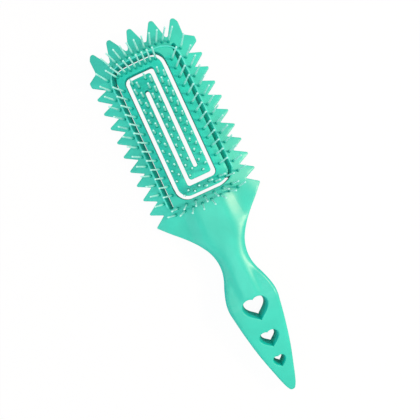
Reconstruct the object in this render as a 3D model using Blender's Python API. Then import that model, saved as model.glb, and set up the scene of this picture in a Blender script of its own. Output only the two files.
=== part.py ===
"""Vented styling brush: toothed head frame, springy pad with moulded pins, leaf-shaped handle.

The brush lies on its back. +Z is up, out of the pin side, and +Y points to the crown.
Flat outlines are drawn around the head's centre and then laid on the head's crowned surface.
"""
import math

import bmesh
import bpy
from mathutils import Matrix, Vector

# Overall places, in metres
TAIL_Y = -0.11685
HEAD_Y = 0.05605
PAD_Y = HEAD_Y - 0.0023
PAD_SHIFT = -0.0014

# Crowned surface of the head
PAD_TOP = 0.0100
FLAT_HALF = 0.003
SLOPE_HALF = 0.016
SIDE_SLOPE = 0.30
CROWN_BEND = 0.043
CROWN_CURVE = 0.09346

# Frame of the head
RING_DEPTH = 0.0054
FLANGE_DEPTH = 0.0020
BLANK_HALF = 0.040
RIM_WIDTH = 0.0011
RIM_RISE = 0.0007
RING_WALL = 0.0018
FLANGE_FALL = 0.0036

# Teeth along the sides
TOOTH_COUNT = 10
TOOTH_TIP_X = 0.0346
TOOTH_ROOT_X = 0.0272
TOOTH_TIP_PITCH = 0.00949
TOOTH_ROOT_PITCH = 0.00914
FIRST_TIP_Y = 0.0408
FIRST_ROOT_Y = 0.03385
FIRST_TIP_LENGTH = 0.0028
TOOTH_TIP_RADIUS = 0.0008
TOOTH_ROOT_RADIUS = 0.0004
SHOULDER_X = 0.0340
SHOULDER_Y = -0.0538
CORNER_X = 0.0287
CORNER_Y = 0.0454

# Tall teeth of the crown, each a place across and a height above the head's centre
CROWN_TIPS = ((0.0, 0.0610), (0.0140, 0.0602), (0.0266, 0.0575))
CROWN_ROOTS = ((0.0059, 0.0484), (0.0187, 0.0469))
CROWN_TIP_RADIUS = 0.0017
CROWN_ROOT_RADIUS = 0.0011
CROWN_SIDE_X = 0.0290
CROWN_SIDE_Y = 0.0545

# Pad: half widths and half lengths of its bars and slots, about the pad's centre
CENTRE_BAR_HALF = 0.0027
INNER_BAR_FROM = 0.0052
INNER_BAR_TO = 0.0112
OUTER_BAR_FROM = 0.0139
OUTER_BAR_TO = 0.0191
CHANNEL_TO = 0.0216
TOP_DEAD_END = 0.0247
LOW_DEAD_END = 0.0276
ISLAND_END = 0.0335
END_BAR_FROM = 0.0364
END_BAR_TO = 0.0419
CHANNEL_END = 0.0445
CHANNEL_START = 0.0435
ARM_ROOT = 0.0383
BAR_DEPTH = 0.0046
SHEET_DEPTH = 0.0010
OUTER_CORNER = 0.0065
INNER_CORNER = 0.0016
SLOT_END_RADIUS = 0.0011

# The thick ring goes round the pad's opening, and the flange begins where the ring has thinned
RING_HALF = CHANNEL_TO + RING_WALL
FLANGE_HALF = RING_HALF + FLANGE_FALL

# Pins
PIN_HEIGHT = 0.0145
ISLAND_PIN_HEIGHT = 0.0118
PIN_FOOT_RADIUS = 0.00065
PIN_NECK_RADIUS = 0.00045
PIN_BULB_RADIUS = 0.00065
PIN_TOP_RADIUS = 0.00030
PIN_BULB_LENGTH = 0.0016
PIN_ROOT = 0.0006
PIN_SIDES = 4
BAR_PIN_PITCH = 0.0062
BAR_PIN_SPREAD = 0.0027
OUTER_PIN_PITCH = 0.0056
END_PIN_PITCH = 0.0032
EDGE_PIN_PITCH = 0.00615
NECK_PIN_PITCH = 0.0058
CROWN_PIN_PITCH = 0.0037
OUTER_PIN_LEAN = math.radians(17)
EDGE_PIN_LEAN = math.radians(15)
SIDE_PIN_LEAN_UP = math.radians(4)
CROWN_PIN_LEAN = math.radians(8)
NECK_PIN_LEAN = math.radians(6)
NECK_END_PIN_LEAN = math.radians(10)

# Strips that carry the frame's pins
STRIP_WIDTH = 0.0024
STRIP_AWAY = 0.0026
STRIP_CORNER = 0.0105
NECK_STRIP_WIDTH = 0.0046
NECK_STRIP_AWAY = 0.0031
NECK_STRIP_HALF = 0.0225
NECK_PIN_SPREAD = 0.0032
SIDE_STRIP_LOW = -0.0440

# Handle: half width at places along the brush, measured from the head's centre
HANDLE_WIDTHS = (
    (SHOULDER_Y, SHOULDER_X + 0.0003), (-0.0595, 0.0286), (-0.0657, 0.0221), (-0.0724, 0.0160),
    (-0.0789, 0.0117), (-0.0851, 0.0096), (-0.0916, 0.0092), (-0.0976, 0.0104), (-0.1034, 0.0127),
    (-0.1108, 0.0150), (-0.1161, 0.0155), (-0.1213, 0.0148), (-0.1328, 0.0129), (-0.1466, 0.0100),
    (-0.1600, 0.0062), (-0.1688, 0.0034), (-0.1718, 0.0019), (TAIL_Y - HEAD_Y, 0.0008))
HANDLE_TOPS = (
    (-0.054, 0.0100), (-0.070, 0.0115), (-0.085, 0.0124), (-0.100, 0.0126), (-0.118, 0.0122),
    (-0.130, 0.0113), (-0.141, 0.0101), (-0.154, 0.0091), (-0.166, 0.0082), (-0.1710, 0.0076),
    (TAIL_Y - HEAD_Y, 0.0073))
HANDLE_BASES = ((-0.054, -0.0005), (-0.158, -0.0005), (-0.168, 0.0014), (TAIL_Y - HEAD_Y, 0.0052))
HEAD_ENDS = -0.054
HANDLE_BEGINS = -0.084
EDGE_HEIGHT = 0.0064
EDGE_BAND = 0.0006

# Hearts: place along the brush from the head's centre, width and length
HEARTS = ((-0.1190, 0.0156, 0.0140), (-0.1385, 0.0120, 0.0102), (-0.1530, 0.0086, 0.0076))
HEART_STEPS = 20

# Two halves of the handle
PARTING_HEIGHT = 0.0061
BACK_BEGINS = -0.0860
GAP = 0.0003
WALL = 0.0022
HEART_WALL = 0.0016
HOLLOW_BEGINS = -0.0900
HOLLOW_ENDS = -0.1450
PEG_PLACES = (-0.1000, -0.1467)
PEG_RADIUS = 0.0015
PEG_TOP = 0.0083
BOSS_RADIUS = 0.0033
BORE_SIDES = 12

# Fineness of the curved surfaces and arcs
ACROSS_STEP = 0.004
CROWN_STEP = 0.0015
ARC_STEP = 0.0022
ARC_EXTRA = 0.0012
HEAD_STOPS = (0.0, 0.0062, 0.0113, 0.0165, 0.0205, RING_HALF, FLANGE_HALF, 0.0335, BLANK_HALF)
CROWN_SHARES = (1.0, 0.773, 0.591, 0.409, 0.273, 0.159, 0.091)
CROWN_MARGIN = 0.0040
SHOULDER_STATIONS = (SHOULDER_Y + 0.0063, SHOULDER_Y + 0.0028, SHOULDER_Y)
SHOULDER_BLEND = 0.0060

# How far the cutting shapes reach past what they cut
CUT_LOW = -0.010
CUT_HIGH = 0.030
CUT_WIDE = 0.050
CUT_PAST = 0.010
GROOVE_CUT_HIGH = 0.004
OPENING_CUT_LOW = -0.012
OPENING_CUT_HIGH = 0.006

COLOUR = (0.09, 0.66, 0.50, 1.0)


def clear_scene():
    for thing in list(bpy.data.objects):
        bpy.data.objects.remove(thing, do_unlink=True)


def make_collection(name):
    group = bpy.data.collections.new(name)
    bpy.context.scene.collection.children.link(group)
    return group


def smooth_step(value):
    held = min(max(value, 0.0), 1.0)
    return held * held * (3.0 - 2.0 * held)


def smooth_through(points, place):
    """Height of a smooth curve through points whose places run downwards."""
    if place >= points[0][0]:
        return points[0][1]
    for number in range(len(points) - 1):
        (start, low), (end, high) = points[number], points[number + 1]
        if place >= end - 1e-9:
            break
    before = points[max(number - 1, 0)]
    after = points[min(number + 2, len(points) - 1)]
    slope_start = (high - before[1]) / (end - before[0])
    slope_end = (after[1] - low) / (after[0] - start)
    span = end - start
    share = (place - start) / span
    keep = share * share
    cube = keep * share
    return ((2 * cube - 3 * keep + 1) * low + (cube - 2 * keep + share) * span * slope_start
            + (3 * keep - 2 * cube) * high + (cube - keep) * span * slope_end)


def side_drop(x):
    """How far the head's surface has dropped below the pad's top, x across."""
    across = abs(x)
    run = SLOPE_HALF - FLAT_HALF
    share = min(max((across - FLAT_HALF) / run, 0.0), 1.0)
    bent = SIDE_SLOPE * run * (share ** 3 - share ** 4 / 2)
    return bent + SIDE_SLOPE * max(across - SLOPE_HALF, 0.0)


def side_slope(x):
    run = SLOPE_HALF - FLAT_HALF
    slope = SIDE_SLOPE * smooth_step((abs(x) - FLAT_HALF) / run)
    return math.copysign(slope, x)


def crown_drop(y):
    """How far the crown has dropped, y from the head's centre."""
    past = max(y - CROWN_BEND, 0.0)
    return past * past / CROWN_CURVE


def on_head(x, y, height):
    """A point at a height over the head's surface, square to it; y from the head's centre."""
    lean = math.atan(side_slope(x))
    z = PAD_TOP - side_drop(x) - crown_drop(y)
    return Vector((x + height * math.sin(lean), y + HEAD_Y, z + height * math.cos(lean)))


def rounded(corners):
    """Outline through corners (x, y, radius), each corner rounded by an arc."""
    outline = []
    count = len(corners)
    for number, (x, y, radius) in enumerate(corners):
        here = Vector((x, y))
        if radius <= 0.0:
            outline.append((x, y))
            continue
        to_last = (Vector(corners[number - 1][:2]) - here).normalized()
        to_next = (Vector(corners[(number + 1) % count][:2]) - here).normalized()
        half_angle = to_last.angle(to_next) / 2
        reach = radius / math.tan(half_angle)
        centre = here + (to_last + to_next).normalized() * (radius / math.sin(half_angle))
        start = here + to_last * reach - centre
        turn = start.angle_signed(here + to_next * reach - centre)
        steps = max(2, round(abs(turn) * (radius + ARC_EXTRA) / ARC_STEP))
        for step in range(steps + 1):
            arm = start.copy()
            arm.rotate(Matrix.Rotation(-turn * step / steps, 2))
            outline.append(tuple(centre + arm))
    return outline


def sharpened(corners, rounds=4):
    """Moves each corner out, so that its rounded tip ends where the corner was."""
    moved = [Vector((x, y)) for x, y, _ in corners]
    count = len(corners)
    for _ in range(rounds):
        last = [point.copy() for point in moved]
        for number, (x, y, radius) in enumerate(corners):
            here = last[number]
            to_last = (last[number - 1] - here).normalized()
            to_next = (last[(number + 1) % count] - here).normalized()
            half_angle = to_last.angle(to_next) / 2
            past = radius / math.sin(half_angle) - radius
            moved[number] = Vector((x, y)) - (to_last + to_next).normalized() * past
    return [(point.x, point.y, corner[2]) for point, corner in zip(moved, corners)]


def turned(corners):
    """The same corners turned by half a turn about the pad's centre."""
    return [(-x, -y, radius) for x, y, radius in corners]


def on_pad(outline):
    """The pad's bars lie to one side of the middle, inside a frame that doesn't."""
    moved = []
    for x, y in outline:
        share = smooth_step((abs(x) - OUTER_BAR_FROM) / (OUTER_BAR_TO - OUTER_BAR_FROM))
        moved.append((x + PAD_SHIFT * (1 - share), y))
    return moved


def mirrored(corners):
    return [(-x, y, radius) for x, y, radius in reversed(corners)]


def mesh_object(name, mesh, group):
    thing = bpy.data.objects.new(name, mesh)
    group.objects.link(thing)
    return thing


def flat_solid(name, loops, low, high, group, shift=0.0):
    """A plate between two heights, from outlines; a loop inside another is a hole."""
    drawing = bpy.data.curves.new(name, "CURVE")
    drawing.dimensions = "2D"
    drawing.fill_mode = "BOTH"
    drawing.extrude = (high - low) / 2
    for loop in loops:
        line = drawing.splines.new("POLY")
        line.points.add(len(loop) - 1)
        for point, (x, y) in zip(line.points, loop):
            point.co = (x, y + shift, 0.0, 1.0)
        line.use_cyclic_u = True
    sketch = bpy.data.objects.new(name + "_drawing", drawing)
    sketch.location.z = (low + high) / 2
    group.objects.link(sketch)
    bpy.context.view_layer.update()
    evaluated = sketch.evaluated_get(bpy.context.evaluated_depsgraph_get())
    mesh = bpy.data.meshes.new_from_object(evaluated)
    shape = bmesh.new()
    shape.from_mesh(mesh)
    shape.transform(sketch.matrix_world)
    bmesh.ops.remove_doubles(shape, verts=shape.verts, dist=1e-7)
    bmesh.ops.dissolve_limit(shape, angle_limit=0.001, verts=shape.verts, edges=shape.edges)
    bmesh.ops.recalc_face_normals(shape, faces=shape.faces)
    shape.to_mesh(mesh)
    shape.free()
    bpy.data.objects.remove(sketch, do_unlink=True)
    mesh.name = name
    return mesh_object(name, mesh, group)


def lay_on_head(thing, across_step=ACROSS_STEP, along_step=None):
    """Bends a flat solid, drawn at heights over a flat head, onto the crowned surface."""
    shape = bmesh.new()
    shape.from_mesh(thing.data)
    planes = []
    reach = round(BLANK_HALF / across_step)
    for number in range(-reach, reach + 1):
        planes.append((Vector((number * across_step, 0, 0)), Vector((1, 0, 0))))
    if along_step:
        for number in range(1, 8):
            planes.append((Vector((0, CROWN_BEND + number * along_step, 0)), Vector((0, 1, 0))))
    for point, normal in planes:
        everything = shape.verts[:] + shape.edges[:] + shape.faces[:]
        bmesh.ops.bisect_plane(shape, geom=everything, plane_co=point, plane_no=normal, dist=1e-7)
    for vertex in shape.verts:
        vertex.co = on_head(*vertex.co)
    bmesh.ops.recalc_face_normals(shape, faces=shape.faces)
    shape.to_mesh(thing.data)
    shape.free()


def head_solid(name, loops, low, high, group, shift=0.0, along_step=None):
    thing = flat_solid(name, loops, low, high, group, shift)
    lay_on_head(thing, along_step=along_step)
    return thing


def loft(name, sections, group):
    shape = bmesh.new()
    rings = [[shape.verts.new(point) for point in section] for section in sections]
    for ring, following in zip(rings, rings[1:]):
        for number in range(len(ring)):
            other = (number + 1) % len(ring)
            shape.faces.new((ring[number], ring[other], following[other], following[number]))
    shape.faces.new(rings[0])
    shape.faces.new(rings[-1])
    bmesh.ops.recalc_face_normals(shape, faces=shape.faces)
    mesh = bpy.data.meshes.new(name)
    shape.to_mesh(mesh)
    shape.free()
    return mesh_object(name, mesh, group)


def box(name, low, high, group):
    shape = bmesh.new()
    size = Vector(high) - Vector(low)
    middle = (Vector(high) + Vector(low)) / 2
    place = Matrix.Translation(middle) @ Matrix.Diagonal((*size, 1.0))
    bmesh.ops.create_cube(shape, size=1.0, matrix=place)
    mesh = bpy.data.meshes.new(name)
    shape.to_mesh(mesh)
    shape.free()
    return mesh_object(name, mesh, group)


def post(name, radius, x, y, low, high, group):
    shape = bmesh.new()
    place = Matrix.Translation((x, y, (low + high) / 2))
    bmesh.ops.create_cone(shape, cap_ends=True, segments=BORE_SIDES, radius1=radius, radius2=radius,
                          depth=high - low, matrix=place)
    mesh = bpy.data.meshes.new(name)
    shape.to_mesh(mesh)
    shape.free()
    return mesh_object(name, mesh, group)


def combine(thing, operation, other):
    change = thing.modifiers.new(operation.title() + "_" + other.name, "BOOLEAN")
    change.operation = operation
    change.solver = "EXACT"
    change.object = other


# Body of the brush

def flange_share(x, y):
    """0 on the thick ring round the pad, 1 out on the thin flange."""
    side = (abs(x) - RING_HALF) / (FLANGE_HALF - RING_HALF)
    crown = (y - CROWN_BEND - FLANGE_DEPTH) / (2 * (FLANGE_HALF - RING_HALF))
    return smooth_step(max(side, crown))


def section(y, inset=0.0):
    """Closed section of the brush body at y from the head's centre."""
    handle = smooth_step((HEAD_ENDS - y) / (HEAD_ENDS - HANDLE_BEGINS))
    blank = smooth_step((y - SHOULDER_Y) / SHOULDER_BLEND)
    half = smooth_through(HANDLE_WIDTHS, y)
    half += (BLANK_HALF - half) * blank - inset
    turns = len(HEAD_STOPS) - 1
    crest = smooth_through(HANDLE_TOPS, y) - inset
    base = smooth_through(HANDLE_BASES, y) + inset
    top, bottom = [], []
    for number in range(-turns, turns + 1):
        head_stop = math.copysign(HEAD_STOPS[abs(number)], number) / BLANK_HALF
        round_stop = math.sin(math.pi / 2 * number / turns)
        share = (1 - handle) * head_stop + handle * round_stop
        x = half * share
        swell = math.sqrt(max(1 - share * share, 0.0))
        edge_top = EDGE_HEIGHT + EDGE_BAND
        edge_low = EDGE_HEIGHT - EDGE_BAND
        handle_top = edge_top + (crest - edge_top) * swell
        handle_low = max(edge_low - (edge_low - base) * swell ** 0.8, inset)
        head_top = PAD_TOP - side_drop(x) - crown_drop(y)
        depth = RING_DEPTH + (FLANGE_DEPTH - RING_DEPTH) * flange_share(x, y)
        head_low = head_top - depth * math.hypot(1.0, side_slope(x))
        z_top = (1 - handle) * head_top + handle * handle_top
        z_low = (1 - handle) * head_low + handle * handle_low
        top.append(Vector((x, y + HEAD_Y, z_top)))
        bottom.append(Vector((x, y + HEAD_Y, z_low)))
    return top + bottom[::-1]


def body_stations():
    reach = CROWN_TIPS[0][1] + CROWN_MARGIN - CROWN_BEND
    crown = [CROWN_BEND + share * reach for share in CROWN_SHARES] + [CROWN_BEND]
    return crown + list(SHOULDER_STATIONS) + [place for place, _ in HANDLE_WIDTHS[1:]]


def head_outline():
    """Teeth all round the head, closed below the shoulders outside the handle."""
    crown = [(x, y, CROWN_TIP_RADIUS) for x, y in CROWN_TIPS]
    roots = [(x, y, CROWN_ROOT_RADIUS) for x, y in CROWN_ROOTS]
    right = [crown[0], roots[0], crown[1], roots[1], crown[2],
             (CROWN_SIDE_X, CROWN_SIDE_Y, CROWN_TIP_RADIUS), (CORNER_X, CORNER_Y, TOOTH_ROOT_RADIUS),
             (TOOTH_TIP_X, FIRST_TIP_Y + FIRST_TIP_LENGTH / 2, TOOTH_TIP_RADIUS),
             (TOOTH_TIP_X, FIRST_TIP_Y - FIRST_TIP_LENGTH / 2, TOOTH_TIP_RADIUS)]
    for number in range(TOOTH_COUNT):
        root_y = FIRST_ROOT_Y - number * TOOTH_ROOT_PITCH
        right.append((TOOTH_ROOT_X, root_y, TOOTH_ROOT_RADIUS))
        if number < TOOTH_COUNT - 1:
            tip_y = FIRST_TIP_Y - (number + 1) * TOOTH_TIP_PITCH
            right.append((TOOTH_TIP_X, tip_y, TOOTH_TIP_RADIUS))
    right.append((SHOULDER_X, SHOULDER_Y, TOOTH_TIP_RADIUS))
    right.append((SHOULDER_X, TAIL_Y - HEAD_Y - CUT_PAST, 0.0))
    return rounded(sharpened(right + mirrored(right[1:])))


def pad_opening():
    """The opening in the frame that the pad lies in, with the two roots of its arms."""
    half = [(CHANNEL_TO, CHANNEL_START + SLOT_END_RADIUS, SLOT_END_RADIUS),
            (CHANNEL_TO, -CHANNEL_END, OUTER_CORNER + CHANNEL_TO - OUTER_BAR_TO),
            (-OUTER_BAR_FROM, -CHANNEL_END, OUTER_CORNER),
            (-OUTER_BAR_FROM, -ARM_ROOT, 0.0),
            (-OUTER_BAR_TO, -ARM_ROOT, 0.0),
            (-OUTER_BAR_TO, -CHANNEL_START - SLOT_END_RADIUS, SLOT_END_RADIUS)]
    return rounded(half + turned(half))


def rim_outline():
    """The raised rim along both sides and over the top of the opening."""
    outer = CHANNEL_TO + RIM_WIDTH
    inner = CHANNEL_TO - RIM_WIDTH
    radius = OUTER_CORNER + CHANNEL_TO - OUTER_BAR_TO
    top_outer = CHANNEL_END + RIM_WIDTH
    top_inner = CHANNEL_END - RIM_WIDTH
    right = [(outer, top_outer, radius + RIM_WIDTH), (outer, -CHANNEL_START, 0.0),
             (inner, -CHANNEL_START, 0.0), (inner, top_inner, radius - RIM_WIDTH)]
    return rounded(right + mirrored(right))


def heart_outline(place, width, length, grow=0.0):
    """Heart with its lobes towards the head; grow widens it all round."""
    loop = []
    for step in range(HEART_STEPS):
        angle = 2 * math.pi * (step + 0.5) / HEART_STEPS
        across = math.sin(angle) ** 3
        along = (13 * math.cos(angle) - 3.4 * math.cos(2 * angle) - 1.4 * math.cos(3 * angle)
                 - 0.4 * math.cos(4 * angle)) / 12.9 + 0.18
        point = Vector((across * width / 2, along * length / 2))
        if grow:
            point += point.normalized() * grow
        loop.append((point.x, point.y + place))
    return loop


def strip_path():
    """Corners of the line that the side and crown strips follow, about the pad's centre."""
    side = CHANNEL_TO + STRIP_AWAY
    top = CHANNEL_END + STRIP_AWAY
    return side, top


def band(path, width, grow=0.0):
    """Outline of a band of one width along an open path of points."""
    left, right = [], []
    for number, here in enumerate(path):
        before = path[max(number - 1, 0)]
        after = path[min(number + 1, len(path) - 1)]
        along = (after - before).normalized()
        across = Vector((-along.y, along.x)) * (width / 2 + grow)
        stretch = along * grow
        end = -stretch if number == 0 else stretch if number == len(path) - 1 else stretch * 0
        left.append(tuple(here + end + across))
        right.append(tuple(here + end - across))
    return left + right[::-1]


def corner_arc(start, stop, steps):
    """Points on the strip's upper right corner, between two angles in degrees."""
    side, top = strip_path()
    centre = Vector((side - STRIP_CORNER, top - STRIP_CORNER))
    points = []
    for step in range(steps + 1):
        angle = math.radians(start + (stop - start) * step / steps)
        points.append(centre + STRIP_CORNER * Vector((math.cos(angle), math.sin(angle))))
    return points


def side_strip_path():
    side, _ = strip_path()
    return [Vector((side, SIDE_STRIP_LOW))] + corner_arc(0, 42, 3)


def crown_strip_path():
    right = corner_arc(48, 90, 3)
    return right + [Vector((-point.x, point.y)) for point in reversed(right)]


def along_path(path, distance):
    """Point and direction at a distance along a path of points."""
    for here, following in zip(path, path[1:]):
        length = (following - here).length
        if distance <= length + 1e-9:
            direction = (following - here).normalized()
            return here + direction * distance, direction
        distance -= length
    return path[-1], (path[-1] - path[-2]).normalized()


def path_length(path):
    return sum((following - here).length for here, following in zip(path, path[1:]))


# Pad

def island_outline():
    half = [(INNER_BAR_TO, ISLAND_END - GAP / 2, 0.0),
            (INNER_BAR_TO, -ISLAND_END, INNER_CORNER),
            (-CENTRE_BAR_HALF, -ISLAND_END, INNER_CORNER)]
    slot = [(-CENTRE_BAR_HALF, TOP_DEAD_END, SLOT_END_RADIUS),
            (-INNER_BAR_FROM, TOP_DEAD_END, SLOT_END_RADIUS),
            (-INNER_BAR_FROM, -ISLAND_END + GAP / 2, 0.0)]
    other_slot = [(CENTRE_BAR_HALF, -LOW_DEAD_END, SLOT_END_RADIUS),
                  (INNER_BAR_FROM, -LOW_DEAD_END, SLOT_END_RADIUS),
                  (INNER_BAR_FROM, ISLAND_END - GAP / 2, 0.0)]
    return rounded(half + slot + turned(half) + other_slot)


def arm_outline():
    """Left arm: the left bar and the top bar, down to the island's right bar."""
    return rounded([
        (-OUTER_BAR_FROM, -ARM_ROOT + GAP, 0.0),
        (-OUTER_BAR_TO, -ARM_ROOT + GAP, 0.0),
        (-OUTER_BAR_TO, END_BAR_TO, OUTER_CORNER),
        (INNER_BAR_TO, END_BAR_TO, OUTER_CORNER - INNER_CORNER),
        (INNER_BAR_TO, ISLAND_END + GAP / 2, 0.0),
        (INNER_BAR_FROM, ISLAND_END + GAP / 2, 0.0),
        (INNER_BAR_FROM, END_BAR_FROM, INNER_CORNER / 2),
        (-OUTER_BAR_FROM, END_BAR_FROM, INNER_CORNER * 2)])


def bar_sheet_outline():
    """Sheet of the left bar's pins, below the top bar."""
    top = END_BAR_FROM - INNER_CORNER * 2 - GAP
    return [(-OUTER_BAR_FROM, -ARM_ROOT + GAP), (-OUTER_BAR_FROM, top),
            (-OUTER_BAR_TO, top), (-OUTER_BAR_TO, -ARM_ROOT + GAP)]


def end_sheet_outline():
    """Sheet of the top bar's pins, with both corners."""
    low = END_BAR_FROM - INNER_CORNER * 2
    return rounded([
        (-OUTER_BAR_TO, low, 0.0),
        (-OUTER_BAR_TO, END_BAR_TO, OUTER_CORNER),
        (INNER_BAR_TO, END_BAR_TO, OUTER_CORNER - INNER_CORNER),
        (INNER_BAR_TO, ISLAND_END + GAP / 2, 0.0),
        (INNER_BAR_FROM, ISLAND_END + GAP / 2, 0.0),
        (INNER_BAR_FROM, END_BAR_FROM, INNER_CORNER / 2),
        (-OUTER_BAR_FROM, END_BAR_FROM, INNER_CORNER * 2),
        (-OUTER_BAR_FROM, low, 0.0)])


def half_turn(loop):
    return [(-x, -y) for x, y in loop]


# Pins

def add_pin(shape, x, y, lean_x, lean_y, height=PIN_HEIGHT):
    """One pin with its foot on the head's surface; x and y from the head's centre."""
    foot = on_head(x, y, 0.0)
    direction = Vector((math.tan(lean_x), math.tan(lean_y), 1.0)).normalized()
    turn = Vector((0, 0, 1)).rotation_difference(direction).to_matrix()
    profile = ((-PIN_ROOT, PIN_FOOT_RADIUS), (height - PIN_BULB_LENGTH, PIN_NECK_RADIUS),
               (height - PIN_BULB_LENGTH / 2, PIN_BULB_RADIUS), (height, PIN_TOP_RADIUS))
    rings = []
    for level, radius in profile:
        ring = []
        for side in range(PIN_SIDES):
            angle = 2 * math.pi * side / PIN_SIDES
            arm = Vector((radius * math.cos(angle), radius * math.sin(angle), level))
            ring.append(shape.verts.new(foot + turn @ arm))
        rings.append(ring)
    for ring, following in zip(rings, rings[1:]):
        for side in range(PIN_SIDES):
            other = (side + 1) % PIN_SIDES
            shape.faces.new((ring[side], ring[other], following[other], following[side]))
    shape.faces.new(rings[0][::-1])
    shape.faces.new(rings[-1])


def pins_object(name, places, group):
    shape = bmesh.new()
    for place in places:
        add_pin(shape, *place)
    mesh = bpy.data.meshes.new(name)
    shape.to_mesh(mesh)
    shape.free()
    return mesh_object(name, mesh, group)


def row(low, high, pitch):
    """Places a pitch apart, centred between two ends."""
    count = int((high - low) / pitch + 1e-6) + 1
    start = (low + high - (count - 1) * pitch) / 2
    return [start + number * pitch for number in range(count)]


def staggered(bar_x, low, high):
    """Two columns on a bar, half a pitch apart along it."""
    places = []
    for number, y in enumerate(row(low, high, BAR_PIN_PITCH / 2)):
        side = BAR_PIN_SPREAD / 2 * (1 if number % 2 else -1)
        x = bar_x + side + PAD_SHIFT
        places.append((x, y + PAD_Y - HEAD_Y, 0.0, 0.0, ISLAND_PIN_HEIGHT))
    return places


def island_pin_places():
    bar_x = (INNER_BAR_FROM + INNER_BAR_TO) / 2
    margin = INNER_CORNER
    left = staggered(-bar_x, -ISLAND_END + margin, ISLAND_END - margin)
    middle = staggered(0.0, -ISLAND_END + margin, ISLAND_END - margin)
    right = staggered(bar_x, -ISLAND_END + margin, ISLAND_END - margin)
    return left + middle + right


def outer_pin_places(side):
    bar_x = side * (OUTER_BAR_FROM + OUTER_BAR_TO) / 2 + PAD_SHIFT / 2
    low = -ARM_ROOT + INNER_CORNER
    high = END_BAR_FROM - INNER_CORNER * 2 - PIN_FOOT_RADIUS * 3
    if side > 0:
        low, high = -high, -low
    lean = side * OUTER_PIN_LEAN
    places = row(low, high, OUTER_PIN_PITCH)
    return [(bar_x, y + PAD_Y - HEAD_Y, lean, SIDE_PIN_LEAN_UP) for y in places]


def end_pin_places(side):
    """Pins of the top bar, or of the bottom bar in two staggered rows."""
    middle = (END_BAR_FROM + END_BAR_TO) / 2
    places = []
    for number, x in enumerate(row(-OUTER_BAR_TO + INNER_CORNER, INNER_BAR_TO - INNER_CORNER,
                                   END_PIN_PITCH)):
        lean = OUTER_PIN_LEAN * min(x / OUTER_BAR_TO, 0.0)
        shift = 0.0 if side > 0 else BAR_PIN_SPREAD / 3 * (1 if number % 2 else -1)
        lean_y = CROWN_PIN_LEAN if side > 0 else 0.0
        y = side * middle + shift + PAD_Y - HEAD_Y
        (across, _), = on_pad([(side * x, y)])
        places.append((across, y, side * lean, lean_y))
    return places


def strip_pin_places(path, pitch, side, lean_out):
    """Pins along a strip on the frame, leaning outwards."""
    margin = PIN_FOOT_RADIUS * 2
    places = []
    for distance in row(margin, path_length(path) - margin, pitch):
        point, direction = along_path(path, distance)
        outwards = Vector((direction.y, -direction.x))
        lean_x = side * lean_out * outwards.x
        lean_y = lean_out * outwards.y + SIDE_PIN_LEAN_UP * abs(outwards.x)
        places.append((side * point.x, point.y + PAD_Y - HEAD_Y, lean_x, lean_y))
    return places


def neck_pin_places():
    places = []
    middle = PAD_Y - HEAD_Y - CHANNEL_END - NECK_STRIP_AWAY
    for number, x in enumerate(row(-NECK_STRIP_HALF + PIN_FOOT_RADIUS * 2,
                                   NECK_STRIP_HALF - PIN_FOOT_RADIUS * 2, NECK_PIN_PITCH / 2)):
        y = middle + NECK_PIN_SPREAD / 2 * (1 if number % 2 else -1)
        out = x / NECK_STRIP_HALF
        lean_y = (NECK_PIN_LEAN + NECK_END_PIN_LEAN) * out * out - NECK_PIN_LEAN
        places.append((x, y, EDGE_PIN_LEAN * out, lean_y))
    return places


# Nodes

def plastic(name):
    finish = bpy.data.materials.new(name)
    finish.use_nodes = True
    shader = finish.node_tree.nodes["Principled BSDF"]
    shader.inputs["Base Color"].default_value = COLOUR
    shader.inputs["Roughness"].default_value = 0.32
    shader.inputs["Metallic"].default_value = 0.0
    return finish


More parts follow.
